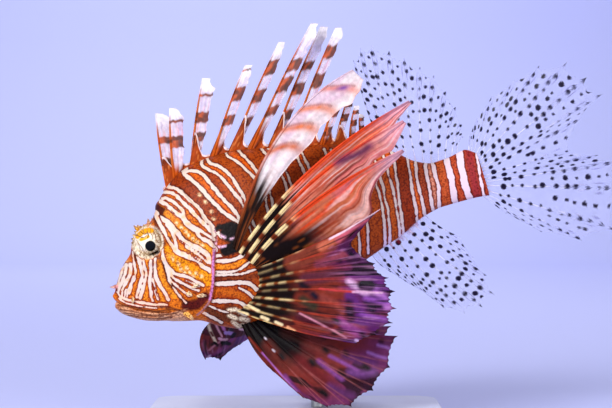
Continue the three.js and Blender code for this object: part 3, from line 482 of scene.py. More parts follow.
# The orbit round the eye: its middle, its coloured patches and dark crinkles, and fine radial lines.
ORBIT_AT = (147.2, 242)
ORBIT_BANDS = [
    ("#F0A016", 3, [(137.4, 236.4), (142, 232.6), (147, 230.4), (151.4, 230.6)]),
    ("#F2A81E", 2, [(141, 239.6), (145, 238), (148, 236.6)]),
    ("#5A3418", 0.5, [(140.6, 231.6), (144, 234.2), (147, 233)]),
    ("#3A1A10", 0.55, [(135.4, 234.6), (138.6, 236), (143, 237.6), (146.4, 235.6)]),
    ("#3A1A10", 0.5, [(147, 231.6), (148.4, 234.8), (147.6, 237.6)]),
    ("#7A4A28", 0.5, [(153.4, 231.6), (155.4, 235.4), (156.2, 240), (158.8, 242.6)]),
    ("#8A6038", 0.45, [(156.8, 232.6), (159.2, 236.6), (160.6, 240.6)]),
    ("#8A6038", 0.45, [(150.4, 232.8), (152.6, 236.2), (152.8, 239)]),
    ("#7A4A28", 0.5, [(157.4, 246), (159.4, 248.8), (160.4, 252)]),
    ("#9A7A58", 0.4, [(138.6, 243.4), (142.8, 249), (144.4, 255)]),
    ("#9A7A58", 0.4, [(136.6, 240), (139.4, 246.4), (140.6, 254)]),
    ("#1C0E0A", 1.5, [(152.6, 254), (155.4, 252.8), (158.4, 251.6)]),
    ("#2A1610", 0.9, [(148.4, 255), (150.6, 254.4)]),
    ("#9A4A18", 2, [(155.4, 257), (158.6, 256), (160, 259.6)]),
]
draw = np.random.default_rng(12)
for turn in np.radians(np.arange(-120, 150, 13)) + draw.normal(0, 0.05, 21):
    way = np.array((math.cos(turn), -math.sin(turn)))
    start, end = draw.uniform(7, 9.5), draw.uniform(11.5, 15.5)
    bent = np.array((way[1], -way[0])) * draw.normal(0, 1)
    reaches = ((start, 0), ((start + end) / 2, 1), (end, 0))
    ORBIT_BANDS.append(("#96683C", 0.34, [ORBIT_AT + way * reach + bent * bend for reach, bend in reaches]))
# The pale lines are cream on head and trunk, and lilac towards the tail and the belly.
WHITE, LILAC = "#DECABA", "#F0D2EA"


def marked(places):
    """The coat's colour, how deep inside a pale line each place is in mm, and the pale line's colour."""
    spots = on_photo(places)
    u, v, w = np.moveaxis(places, -1, 0)
    x, y = spots.T
    waver = np.stack([soft_noise(x / 11, y / 11, 61), soft_noise(x / 11, y / 11, 62)], -1) - 0.5
    spots = spots + 1.4 * waver
    head = 1 - smooth(-0.5, 0.5, behind_gill(u, w))
    jaw = smooth(-0.4, 0.4, np.interp(u, *np.array(MOUTH_LINE).T) - w) * (1 - smooth(34, 40, u))
    # Bands over brown on the trunk and orange on the head, and flesh colour on the jaw.
    ground = blend("#B44A0C", "#E27414", head)
    ground = brushed(ground, spots, BROWN_BANDS, 1.6)
    ground = brushed(ground, spots, WARM_BANDS, 1.1)
    ground = blend(ground, blend("#BC7040", "#F4BC90", soft_noise(x / 9, y / 2.2, 64)), jaw)
    # Painted shade: dark lines along the creases of the jaw.
    for points in JAW_CREASE_SHADE:
        paint(ground, spots, "#642A14", 0.7, points, 0.7)
    paint(ground, spots, "#6A2C10", 9, [(229, 312), (237, 316), (243, 324)], 2)
    for patch in CHEST_PATCHES:
        paint(ground, spots, "#FFEEC8", 2.3, patch, 1)
    for dot in PALE_DOTS:
        paint(ground, spots, "#FFE0A8", 1.5, [dot, (dot[0] + 0.8, dot[1] + 0.8)], 0.9)
    # Redder towards the tail, and darker below.
    ground = blend(ground, "#B43238", 0.4 * smooth(395, 475, x + 3 * np.sin(y / 7)))
    ground = blend(ground, "#5C1420", 0.6 * smooth(8, 30, -w - 4) * smooth(100, 150, u))
    # Pale lines, some with a thin orange one inside, and none on the jaw.
    pale = np.full(len(u), -2.0)
    for width, points in NAPE_LINES + TRUNK_LINES + REAR_LINES + CHEEK_LINES + CHEST_LINES:
        near, away = near_line(curved(points), spots, 5)
        pale[near] = np.maximum(pale[near], width / 2 - away * PIXEL)
    for width, points in INNER_LINES:
        near, away = near_line(curved(points), spots, 3)
        pale[near] = np.minimum(pale[near], away * PIXEL - width / 2)
    pale += 0.6 * (soft_noise(x / 4, y / 4, 63) - 0.5) * smooth(-1, 0, pale)
    pale -= 2 * jaw
    # The skin of the orbit, and the colour of the pale lines.
    orbit = 1 - smooth(15.2, 17.4, np.hypot(x - ORBIT_AT[0], (y - ORBIT_AT[1]) / 1.05))
    orbit *= smooth(4.5, 8.5, np.abs(v) + 1.5 * (soft_noise(u * 0.9, w * 0.9, 67) - 0.5))
    ground = blend(ground, blend("#F6E8CE", "#DCC8A4", soft_noise(x / 2.2, y / 4, 66)), orbit)
    pale -= 3 * orbit
    ground = brushed(ground, spots, ORBIT_BANDS, 0.35)
    lilac = np.clip(smooth(360, 470, x) * 0.6 + smooth(215, 250, y) * smooth(340, 380, x), 0, 1)
    vein = smooth(0.6, 0.8, soft_noise(x / 3.5, y / 3.5, 65)) * head
    tint = blend(blend(WHITE, LILAC, lilac), "#F0B070", vein * 0.6)
    tint = blend(tint, "#E8B8A0", smooth(285, 300, y) * head * 0.6)
    # The gill cover's rim, the armpit behind it darkened as painted shade, and painted pink highlights in it.
    paint(ground, spots, "#B07C84", 1, GILL_RIM, 0.8)
    paint(ground, spots, "#CC7CBC", 1.4, GILL_RIM[:5], 0.8)
    rim = from_line(curved(GILL_RIM), x, y) * PIXEL
    pale = np.where(rim < 1.1, -2, pale)
    # Painted shade: the hollow behind the gill cover goes near black, and no pale line shows in it.
    from_armpit_shade = from_line(curved(ARMPIT_SHADE_LINE), *(spots + 6 * waver).T) * PIXEL
    ground = blend(ground, "#120909", 1 - smooth(2.1, 3.4, from_armpit_shade))
    pale = np.where(from_armpit_shade < 2.6, -2, pale)
    # Painted pink highlights over the painted shade of the hollow.
    for width, points in GILL_CORNER_HIGHLIGHTS:
        paint(ground, spots, "#F0C4DC", width, points, 0.6)
    return ground, pale, tint


def mesh_piece(name, points, faces, values=None):
    """A mesh object from millimetre points in the fish's frame, with named values on its points."""
    mesh = bpy.data.meshes.new(name)
    faces = np.asarray(faces)
    mesh.vertices.add(len(points))
    mesh.vertices.foreach_set("co", (standing(points) * MM).astype(np.float32).ravel())
    mesh.loops.add(faces.size)
    mesh.loops.foreach_set("vertex_index", faces.ravel().astype(np.int32))
    mesh.polygons.add(len(faces))
    mesh.polygons.foreach_set("loop_start", np.arange(0, faces.size, faces.shape[1], dtype=np.int32))
    mesh.update(calc_edges=True)
    mesh.validate()
    mesh.shade_smooth()
    for key, value in (values or {}).items():
        value = np.asarray(value, np.float32)
        if value.ndim == 2:
            layer = mesh.attributes.new(key, "FLOAT_COLOR", "POINT")
            layer.data.foreach_set("color", np.hstack([value, np.ones((len(value), 1), np.float32)]).ravel())
        else:
            mesh.attributes.new(key, "FLOAT", "POINT").data.foreach_set("value", value)
    piece = bpy.data.objects.new(name, mesh)
    bpy.context.scene.collection.objects.link(piece)
    return piece


def link(material, output, target):
    """Joins the output of one node to the input of another."""
    material.node_tree.links.new(output, target)


def add_node(material, kind, inputs=None, stops=None, **settings):
    """Adds a node with its settings. An input takes a value, or the socket of the node that feeds it."""
    node = material.node_tree.nodes.new(kind)
    for key, value in settings.items():
        setattr(node, key, value)
    for key, value in (inputs or {}).items():
        if isinstance(value, bpy.types.NodeSocket):
            link(material, value, node.inputs[key])
        else:
            node.inputs[key].default_value = value
    for k, (place, code) in enumerate(stops or []):
        stop = node.color_ramp.elements[k] if k < 2 else node.color_ramp.elements.new(place)
        stop.position = place
        stop.color = (*hex_colour(code), 1)
    return node


def new_material(name, **surface):
    """A material with one Principled surface, and its constant values."""
    material = bpy.data.materials.new(name)
    material.use_nodes = True
    shader = material.node_tree.nodes["Principled BSDF"]
    for key, value in surface.items():
        shader.inputs[key.replace("_", " ")].default_value = value
    return material, shader


# The sockets of a colour mix, by their place in its list.
MIX_FACTOR, MIX_A, MIX_B, MIX_COLOUR = 0, 6, 7, 2
skin, shader = new_material("Painted_Fish_Skin", Roughness=0.45, Specular_IOR_Level=0.12)
ground = add_node(skin, "ShaderNodeAttribute", attribute_name="ground")
pale = add_node(skin, "ShaderNodeAttribute", attribute_name="pale")
tint = add_node(skin, "ShaderNodeAttribute", attribute_name="tint")
place = add_node(skin, "ShaderNodeTexCoord")
mottle = add_node(skin, "ShaderNodeTexNoise", {"Vector": place.outputs["Object"], "Scale": 900, "Detail": 3})
shade = add_node(
    skin, "ShaderNodeValToRGB", {"Fac": mottle.outputs["Fac"]}, [(0.36, "#8A5A44"), (0.56, "#FFFFFF")]
)
ground_shade = add_node(
    skin, "ShaderNodeMix",
    {MIX_FACTOR: 0.8, MIX_A: ground.outputs["Color"], MIX_B: shade.outputs["Color"]},
    data_type="RGBA", blend_type="MULTIPLY",
)
waver = add_node(skin, "ShaderNodeTexNoise", {"Vector": place.outputs["Object"], "Scale": 420, "Detail": 2})
shift = add_node(
    skin, "ShaderNodeMapRange",
    {"Value": waver.outputs["Fac"], "From Min": 0.3, "From Max": 0.7, "To Min": -0.25, "To Max": 0.25},
)
wavering = add_node(
    skin, "ShaderNodeMath", {0: pale.outputs["Fac"], 1: shift.outputs["Result"]}, operation="ADD"
)
border = add_node(
    skin, "ShaderNodeMapRange",
    {"Value": wavering.outputs["Value"], "From Min": -1.2, "From Max": -0.1, "To Min": 0.0, "To Max": 1.0},
    interpolation_type="SMOOTHSTEP",
)
edged = add_node(
    skin, "ShaderNodeMix",
    {MIX_FACTOR: border.outputs["Result"], MIX_A: ground_shade.outputs[MIX_COLOUR],
     MIX_B: (*hex_colour("#9C4C30"), 1)},
    data_type="RGBA", blend_type="MULTIPLY",
)
line_mask = add_node(
    skin, "ShaderNodeMapRange",
    {"Value": wavering.outputs["Value"], "From Min": -0.15, "From Max": 0.2},
    interpolation_type="SMOOTHSTEP",
)
coat_colour = add_node(
    skin, "ShaderNodeMix",
    {MIX_FACTOR: line_mask.outputs["Result"], MIX_A: edged.outputs[MIX_COLOUR], MIX_B: tint.outputs["Color"]},
    data_type="RGBA",
)
link(skin, coat_colour.outputs[MIX_COLOUR], shader.inputs["Base Color"])
grain = add_node(skin, "ShaderNodeTexVoronoi", {"Vector": place.outputs["Object"], "Scale": 650})
scale_bump = add_node(
    skin, "ShaderNodeBump", {"Height": grain.outputs["Distance"], "Strength": 0.4, "Distance": 0.0003}
)
link(skin, scale_bump.outputs["Normal"], shader.inputs["Normal"])


def grid_faces(columns, rows, closed_round=False):
    """Quads over a grid of points. The rows may close into rings."""
    i, j = np.meshgrid(np.arange(columns - 1), np.arange(rows if closed_round else rows - 1), indexing="ij")
    after = (j + 1) % rows
    quads = np.stack([i * rows + j, i * rows + after, (i + 1) * rows + after, (i + 1) * rows + j], -1)
    return quads.reshape(-1, 4)


def skin_at(u, angle, sunk=SCALE_DEPTH):
    """Places on the skin, with its relief, and its outward directions."""
    body = ring_points(u, angle)
    lengthwise = ring_points(u + 0.2, angle) - ring_points(u - 0.2, angle)
    around = ring_points(u, angle + 0.01) - ring_points(u, angle - 0.01)
    outward = np.cross(lengthwise, around)
    outward /= np.linalg.norm(outward, axis=-1, keepdims=True) + 1e-9
    return body + outward * (relief(body[..., 0], body[..., 2]) - sunk)[..., None], outward


AROUND = 400
head_stations = -1.6 + (HEAD_END + 1.6) * np.linspace(0, 1, 171) ** 1.25
body_stations = np.arange(HEAD_END + 0.5, TAIL_END + 0.01, 0.5)
stations = np.concatenate([head_stations, body_stations])
angles = np.linspace(0, 2 * math.pi, AROUND, endpoint=False)
rings, _ = skin_at(*np.meshgrid(stations, angles, indexing="ij"))
nose_hub = AROUND * len(stations)
skin_points = np.vstack([rings.reshape(-1, 3), rings[0].mean(0), rings[-1].mean(0)])
quads = grid_faces(len(stations), AROUND, closed_round=True)
step = np.arange(AROUND)
after = (step + 1) % AROUND
tail_start = nose_hub - AROUND
skin_faces = np.vstack([
    quads[:, [0, 1, 2]], quads[:, [0, 2, 3]],
    np.stack([step, np.full(AROUND, nose_hub), after], -1),
    np.stack([tail_start + step, tail_start + after, np.full(AROUND, nose_hub + 1)], -1),
])
ground_colours, pale_depth, pale_tint = marked(skin_points)
fish_skin = mesh_piece(
    "fish_skin", skin_points, skin_faces, {"ground": ground_colours, "pale": pale_depth, "tint": pale_tint}
)
fish_skin.data.materials.append(skin)
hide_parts("head", "lower_jaw", "trunk_front", "trunk_rear", "tail_stalk")
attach(fish_skin, "root")

# Scales. Small shingles, cast with the skin, overlap tailwards over the trunk and the tail stalk.
# They lie in rings, every second one turned by half a scale, and carry the skin's markings.
SCALE = {
    "step": 1.3, "half_long": 1.0, "half_wide": 0.72, "lift": 0.065, "from": 47, "to": 219, "behind_gill": 2,
}
OUTLINE = [(-1, 0), (-0.3, -1), (0.6, -0.8), (1, 0), (0.6, 0.8), (-0.3, 1)]
draw = np.random.default_rng(4)
scale_u, scale_angle = [], []
for k, u in enumerate(np.arange(SCALE["from"], SCALE["to"], SCALE["step"])):
    turn = np.linspace(0, 2 * math.pi, 721)
    ring = ring_points(np.full(turn.shape, u), turn)
    walked = np.concatenate([[0], np.cumsum(np.linalg.norm(np.diff(ring, axis=0), axis=1))])
    count = int(walked[-1] / SCALE["step"])
    at = (np.arange(count) + 0.5 * (k % 2)) / count * walked[-1]
    scale_u.append(u + draw.normal(0, 0.08, count))
    scale_angle.append(np.interp(at, walked, turn))
scale_u, scale_angle = np.concatenate(scale_u), np.concatenate(scale_angle)
place, normal = skin_at(scale_u, scale_angle)
ahead = skin_at(scale_u + 0.3, scale_angle)[0] - skin_at(scale_u - 0.3, scale_angle)[0]
ahead /= np.linalg.norm(ahead, axis=-1, keepdims=True)
aside = np.cross(normal, ahead)
aside /= np.linalg.norm(aside, axis=-1, keepdims=True)
normal = np.cross(ahead, aside)
kept = behind_gill(place[:, 0], place[:, 2]) > SCALE["behind_gill"]
scale_u, scale_angle, place, normal, ahead, aside = (
    row[kept] for row in (scale_u, scale_angle, place, normal, ahead, aside)
)
# A scale's rim, then its middle above and below: tailwards, sideways, height.
SCALE_POINTS = [(*point, 0.5 + 0.5 * point[0]) for point in OUTLINE] + [(0, 0, 0.8), (0, 0, -0.6)]
rows = []
for tailwards, sideways, high in SCALE_POINTS:
    flat = place + ahead * tailwards * SCALE["half_long"] + aside * sideways * SCALE["half_wide"]
    rows.append(flat + normal * SCALE["lift"] * (1.6 * high - 0.5))
scale_points = np.stack(rows, 1).reshape(-1, 3)
first = np.arange(len(place))[:, None] * len(rows)
ring = np.arange(len(OUTLINE))
after = (ring + 1) % len(OUTLINE)
top = np.stack([first + ring, first + after, first + len(OUTLINE) + 0 * ring], -1).reshape(-1, 3)
bottom = np.stack([first + after, first + ring, first + len(OUTLINE) + 1 + 0 * ring], -1).reshape(-1, 3)
ground_colours, pale_depth, pale_tint = marked(scale_points)
scale_coat = mesh_piece(
    "scale_coat", scale_points, np.vstack([top, bottom]),
    {"ground": ground_colours, "pale": pale_depth, "tint": pale_tint},
)
# On this map each scale is a small patch, at its place on the unrolled skin.
bake_map = scale_coat.data.uv_layers.new(name="OFBake")
corner = np.empty(len(scale_coat.data.loops), np.int32)
scale_coat.data.loops.foreach_get("vertex_index", corner)
HALF_PATCH = 0.0015
patch = np.array(OUTLINE + [(0, 0), (0, 0)])[corner % len(rows)] * HALF_PATCH
root = np.stack([scale_u / TAIL_END, scale_angle / (2 * math.pi)], -1)[corner // len(rows)]
bake_map.data.foreach_set("uv", np.clip(root + patch, 0, 1).astype(np.float32).ravel())
scale_coat.data.materials.append(skin)
scale_coat.data.shade_flat()
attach(scale_coat, "root")

# Head flaps. Soft tabs of skin hang from snout, cheek and jaw corner, and fringe the brow.
# Each is a thin leaf with a frilled end, cast with the skin, and its root is sunk into it.
# Root on the flank, reach (tailwards, outwards, upwards), width in mm, colour.
FLAPS = [
    ((3.4, 2.4), (-3.6, 2.2, 1), 1.8, "#E8A0A0"), ((10.5, -5.6), (-0.8, 2.6, -3), 1.6, "#F0C890"),
    ((24.5, 29.6), (-1.6, 1.4, 3.4), 2, "#F0B040"), ((31, 30.2), (0.8, 1.2, 4), 2, "#E8A878"),
    ((41.5, -11.4), (2, 3, -3), 2.2, "#F2D8A8"), ((45, -9.4), (4.4, 3, -0.6), 2.2, "#F4DCB4"),
    ((46.5, -15), (4.4, 2.6, -1.6), 2.4, "#F2D8A8"), ((36.5, -22.4), (3.6, 3.4, -5), 2.8, "#F0B858"),
]
for turn in np.radians(np.linspace(66, 168, 9)):
    FLAPS.append((
        (EYE_AT[0] + 8.7 * math.cos(turn), EYE_AT[2] + 8.7 * math.sin(turn)),
        (1.5 * math.cos(turn), 0.7, 1.5 * math.sin(turn)), 1.1, "#F2D8A0",
    ))


def flank(u, w):
    """How far out the smooth body's side lies at a height w."""
    middle, tall = middle_and_half(u)
    rise = np.clip((w - middle) / tall, -1, 1)
    power = along(SQUARENESS, u)
    across = along(HALF_WIDTH, u) * (1 - abs(rise) ** power) ** (1 / power)
    return across * (1 - along(KEEL, u) * max(0, rise))


def sheet(middle, half, values):
    """A thin closed sheet over a grid of points, with the same values on both faces."""
    normal = np.cross(np.gradient(middle, axis=0), np.gradient(middle, axis=1))
    normal /= np.linalg.norm(normal, axis=-1, keepdims=True) + 1e-9
    columns, rows = half.shape
    count = columns * rows
    points = np.vstack([(middle + side * normal * half[..., None]).reshape(-1, 3) for side in (1, -1)])
    face = grid_faces(columns, rows)
    i, j = np.arange(columns - 1), np.arange(rows - 1)
    low, high = i * rows, i * rows + rows - 1
    first, last = j, (columns - 1) * rows + j
    rim = np.vstack([
        np.stack([low, low + rows, low + rows + count, low + count], -1),
        np.stack([high + rows, high, high + count, high + rows + count], -1),
        np.stack([first + 1, first, first + count, first + 1 + count], -1),
        np.stack([last, last + 1, last + 1 + count, last + count], -1),
    ])
    faces = np.vstack([face[:, ::-1], face + count, rim])
    doubled = {key: np.concatenate([v.reshape(count, *v.shape[2:])] * 2) for key, v in values.items()}
    return points, faces, doubled


def joined(name, sheets):
    """One piece made of several sheets."""
    offsets = np.cumsum([0] + [len(points) for points, _, _ in sheets])
    faces = np.vstack([faces + offset for (_, faces, _), offset in zip(sheets, offsets)])
    values = {key: np.concatenate([row[2][key] for row in sheets]) for key in sheets[0][2]}
    return mesh_piece(name, np.vstack([row[0] for row in sheets]), faces, values)


flap_sheets = []
for side in (-1, 1):
    for k, ((u, w), (away_u, out, away_w), wide, code) in enumerate(FLAPS):
        root = np.array((u, side * (flank(u, w) + relief(u, w) - 0.8), w))
        way = np.array((away_u, side * out, away_w))
        across = np.cross(way, (0, side, 0.2))
        across /= np.linalg.norm(across)
        t, reach = np.meshgrid(np.linspace(0, 1.25, 16), np.linspace(-0.5, 0.5, 13), indexing="ij")
        fringe = 0.78 + 0.22 * np.cos(reach * 5 * 2 * math.pi)
        t = t * np.where(t > 0.8, fringe, 1)
        taper = wide * (1 - 0.45 * t**2)
        middle = root + t[..., None] * way + (reach * taper)[..., None] * across
        middle[..., 1] += side * 0.35 * np.sin(t * 4 + 5 * reach + k)
        colours = blend(code, "#FFF0D8", smooth(0.5, 1.1, t) * 0.7)
        colours = blend(colours, "#A04A14", smooth(0.6, 0.8, soft_noise(t * 5 + k, reach * 6 + 9, 71)) * 0.8)
        flap_sheets.append(sheet(middle, 0.32 - 0.2 * t, {
            "ground": colours, "pale": np.full(t.shape, -2.0), "tint": colours,
        }))
head_flaps = joined("head_flaps", flap_sheets)
head_flaps.data.materials.append(skin)
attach(head_flaps, "root")

# Eyes. Each is a glazed ball, black in the middle, with a cream iris marked like its orbit.
# It is pressed into its socket from the side, and stands a little proud of the orbit.
eye, shader = new_material("Glazed_Eye", Roughness=0.15, Specular_IOR_Level=0.18)
ground = add_node(eye, "ShaderNodeAttribute", attribute_name="ground")
link(eye, ground.outputs["Color"], shader.inputs["Base Color"])
PUPIL_AT = (150.4, 246)
PUPIL_RADIUS = 5.3
EYE_COLUMNS, EYE_ROWS = 160, 90


def eyeball(side):
    """One eye: a ball set in the orbit, with its pupil and iris brushed on."""
    turns = np.linspace(0, 2 * math.pi, EYE_COLUMNS, endpoint=False)
    turn, rise = np.meshgrid(turns, np.linspace(0.001, math.pi - 0.001, EYE_ROWS))
    u = EYE_AT[0] + EYE_RADIUS * np.sin(rise) * np.cos(turn)
    w = EYE_AT[2] + EYE_RADIUS * np.sin(rise) * np.sin(turn)
    v = side * (EYE_AT[1] + EYE_DEPTH * np.cos(rise))
    points = np.stack([u, v, w], -1).reshape(-1, 3)
    spots = on_photo(points)
    cloud = soft_noise(spots[:, 0] / 2.2, spots[:, 1] / 4, 66)
    colours = blend("#F6E8CE", "#DCC8A4", smooth(0.4, 0.9, cloud))
    colours = brushed(colours, spots, ORBIT_BANDS, 0.35)
    pupil = 1 - smooth(PUPIL_RADIUS - 0.3, PUPIL_RADIUS + 0.3, np.hypot(*(spots - PUPIL_AT).T))
    return mesh_piece(
        "eye_left_glazed" if side < 0 else "eye_right_glazed", points,
        grid_faces(EYE_ROWS, EYE_COLUMNS, closed_round=True), {"ground": blend(colours, "#020202", pupil)},
    )


for side, node in ((-1, "eye_left"), (1, "eye_right")):
    ball = eyeball(side)
    ball.data.materials.append(eye)
    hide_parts(node)
    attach(ball, "root")

# Spiny back fin. Thirteen venomous spines stand along the back, each a hard banded rod with a
# soft flag of skin behind it, and a brown web joins their feet. They are cast resin, painted, and
# their feet are sunk into the back.
# From the head tailwards: each spine's root on the back, its tip, its flag's width in mm, and
# where dark bars cross it, as shares of its length.
SPINE_ROOTS = [46.5, 51.8, 62.9, 75.7, 86.8, 97.5, 109, 119.5, 129, 138, 146.5, 154.5, 162]
SPINE_TIPS = [
    (52.6, 92.5), (61.8, 92.4), (84.8, 104), (111, 103.5), (133.6, 111.3), (154.4, 115.4), (159.4, 112.8),
    (167.2, 108.8), (157, 80.5), (160.5, 75), (163, 69), (164.5, 62.5), (166, 57.5),
]
SPINE_FLAGS = [8, 8, 7.2, 5.8, 5.6, 6.2, 6.2, 5.6, 5, 4.6, 4, 3.4, 2.8]
SPINE_BARS = [
    [(0.31, 0.42), (0.6, 0.69)],
    [(0.45, 0.61), (0.79, 0.83)],
    [(0.3, 0.4), (0.5, 0.62), (0.79, 0.82)],
    [(0.36, 0.47), (0.61, 0.76), (0.93, 0.95)],
    [(0.24, 0.33), (0.45, 0.57), (0.69, 0.83)],
    [(0.28, 0.36), (0.46, 0.58), (0.62, 0.72)],
    [(0.24, 0.33), (0.44, 0.54), (0.64, 0.71)],
    [(0.25, 0.35), (0.5, 0.62), (0.74, 0.85)],
] + [[(0.2, 0.35), (0.5, 0.65), (0.78, 0.88)]] * 5
BAR_EDGE = 0.012
SPINE_LEAN = 4
ROD_AT_ROOT, ROD_AT_TIP = 0.95, 0.28
# How a flag widens from root to tip, as shares of its full width.
FLAG_SPREAD = [(0, 0.3), (0.25, 0.75), (0.45, 0.95), (0.9, 1), (1, 0.6)]
SPINE_WEB = {"start": 44, "end": 167, "low": 1.6, "high": 17.5, "fall": 5, "sunk": 3}


def ray_place(root, through, tip, t):
    """A ray's curve from its root to its tip, bowed through a point half way along it."""
    root, through, tip = (np.asarray(p, float) for p in (root, through, tip))
    bow = 2 * through - (root + tip) / 2
    t = np.asarray(t)[..., None]
    return (1 - t) ** 2 * root + 2 * t * (1 - t) * bow + t**2 * tip


def vane(line, behind, rod, width, web_half=0.22, columns=15):
    """A round rod along a line, with its own strip of membrane behind it, as grids."""
    turn = np.linspace(0, math.pi, 9)[:, None]
    reach = np.linspace(0, 1, columns)[1:, None]
    off = np.vstack([-rod * np.cos(turn), rod + reach * np.maximum(width - rod, 0.05)])
    half = np.vstack([np.maximum(rod * np.sin(turn), 0.04), web_half * (1.2 - 0.6 * reach) + 0 * width])
    share = np.vstack([0 * turn + 0 * width, reach + 0 * width])
    return line + off[..., None] * (behind / np.linalg.norm(behind)), half, share


spine_sheets = []
for k, (root_u, tip, flag) in enumerate(zip(SPINE_ROOTS, SPINE_TIPS, SPINE_FLAGS)):
    base = np.array((root_u, 0, along(BACK, root_u) - SPINE_WEB["sunk"]))
    lean = SPINE_LEAN if k % 2 == 0 else -SPINE_LEAN
    tip = np.array((tip[0], lean, tip[1]))
    t = np.linspace(0, 1, 110)
    line = ray_place(base, (base + tip) / 2 + (-0.8, 0, 0.8), tip, t)
    ragged = soft_noise(t * 26, np.full(t.shape, 3.0 * k), 7) - 0.5
    width = flag * along(FLAG_SPREAD, t) * (1 + (0.12 + 0.34 * smooth(0.7, 0.95, t)) * ragged)
    rod = ROD_AT_ROOT + (ROD_AT_TIP - ROD_AT_ROOT) * t**0.8
    middle, half, share = vane(line, np.array((0.92, 0.1 * np.sign(lean), -0.3)), rod, width)
    middle[..., 1] += 0.6 * share * np.sin(9 * t + k)
    t = t + 0 * share
    fibre = soft_noise(share * 9, t * 6 + 11 * k, 8)
    colours = blend("#DCC4DC", "#F8EEF4", fibre)
    colours = blend(colours, "#FBF4F6", smooth(0.8, 0.95, t) * 0.85)
    thread = smooth(0.56, 0.76, soft_noise(share * 12, t * 9 + 5 * k, 10)) * (1 - smooth(0.7, 0.85, t))
    colours = blend(colours, "#E08C8C", thread * 0.5)
    cover = (0.5 if k < 3 else 0.3) + 0.25 * fibre + 0.25 * thread + 0.5 * smooth(0.75, 0.95, t)
    on_rod = share < 0.01
    colours = blend(colours, "#C9682C", on_rod * (1 - smooth(0.7, 0.95, t)))
    cover = np.where(on_rod, 1, cover)
    at = t + 0.02 * (soft_noise(share * 5, t * 0 + 5 * k, 9) - 0.5) - 0.015 * share
    tone = blend("#C4541A", "#6E3424", smooth(0.25, 0.7, share + 0.3 * (fibre - 0.5)))
    tone = blend(tone, "#3E2418", smooth(0.42, 0.7, soft_noise(share * 4, t * 24 + 5 * k, 13)) * 0.75)
    for low, high in SPINE_BARS[k]:
        begun = smooth(low - BAR_EDGE, low + BAR_EDGE, at)
        bar = begun * (1 - smooth(high - BAR_EDGE, high + BAR_EDGE, at))
        colours = blend(colours, tone, bar * 0.95)
        cover = cover + (0.97 - cover) * bar
    foot = 1 - smooth(0.14, 0.27, t + 0.06 * (fibre - 0.5))
    colours = blend(colours, blend("#C4540E", "#7A280C", smooth(0.2, 0.8, share)), foot)
    cover = cover + (0.97 - cover) * foot
    spine_sheets.append(sheet(middle, half, {"ground": colours, "solid": np.minimum(cover, 1)}))


def web_at(u):
    """The web's height at a place along the back, and how far it leans with the spine ahead of it."""
    k = np.searchsorted(SPINE_ROOTS, u, side="right") - 1
    ahead = np.maximum(k, 0)
    root = np.array(SPINE_ROOTS)[ahead]
    tip = np.array(SPINE_TIPS)[ahead]
    tall = tip[:, 1] - along(BACK, root)
    full = np.minimum(SPINE_WEB["high"], 0.4 * tall)
    fall = np.exp(-(((u - root) / SPINE_WEB["fall"]) ** 2))
    high = np.where(k < 0, SPINE_WEB["low"], SPINE_WEB["low"] + (full - SPINE_WEB["low"]) * fall)
    return high, np.where(k < 0, 0, (tip[:, 0] - root) / tall)


web_u = np.linspace(SPINE_WEB["start"], SPINE_WEB["end"], 700)[:, None]
high, lean = (row[:, None] for row in web_at(web_u[:, 0]))
share = np.linspace(0, 1, 26)
rise = -SPINE_WEB["sunk"] + share * (high + SPINE_WEB["sunk"])
web_v = 0.8 * np.sin(web_u * 1.1) * share**2
middle = np.stack([web_u + lean * np.maximum(0, rise), web_v, along(BACK, web_u) + rise], -1)
streak = soft_noise(web_u * 0.9 + 0 * rise, rise * 0.35, 12)
colours = blend(blend("#B84A10", "#8A2E0A", streak), "#5A1C0A", smooth(5, 14, rise) * 0.8)
colours = blend(colours, "#E8803A", smooth(0.62, 0.8, streak) * 0.6)
colours = blend(colours, "#FFE6E2", 1 - smooth(0.7, 1.2, high - rise))
spine_sheets.append(sheet(middle, 0.3 + 0.3 * (1 - share) + 0 * rise, {
    "ground": colours, "solid": np.ones(rise.shape),
}))
spiny_fin = joined("spiny_back_fin", spine_sheets)


def fin_material(name, **surface):
    """Painted membrane: colour and cover come from the fin, with fine mottling and fibres."""
    material, shader = new_material(name, Specular_IOR_Level=0.08, **surface)
    ground = add_node(material, "ShaderNodeAttribute", attribute_name="ground")
    solid = add_node(material, "ShaderNodeAttribute", attribute_name="solid")
    place = add_node(material, "ShaderNodeTexCoord")
    mottle = add_node(
        material, "ShaderNodeTexNoise", {"Vector": place.outputs["Object"], "Scale": 420, "Detail": 4}
    )
    shade = add_node(
        material, "ShaderNodeValToRGB", {"Fac": mottle.outputs["Fac"]}, [(0.32, "#B4B4B4"), (0.66, "#FFFFFF")]
    )
    colour = add_node(
        material, "ShaderNodeMix",
        {MIX_FACTOR: 0.45, MIX_A: ground.outputs["Color"], MIX_B: shade.outputs["Color"]},
        data_type="RGBA", blend_type="MULTIPLY",
    )
    link(material, colour.outputs[MIX_COLOUR], shader.inputs["Base Color"])
    link(material, solid.outputs["Fac"], shader.inputs["Alpha"])
    bump = add_node(
        material, "ShaderNodeBump", {"Height": mottle.outputs["Fac"], "Strength": 0.3, "Distance": 0.0004}
    )
    link(material, bump.outputs["Normal"], shader.inputs["Normal"])
    return material


spiny_fin.data.materials.append(fin_material("Cast_Resin_Spines", Roughness=0.45))
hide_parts("dorsal_fin_spiny")
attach(spiny_fin, "root")

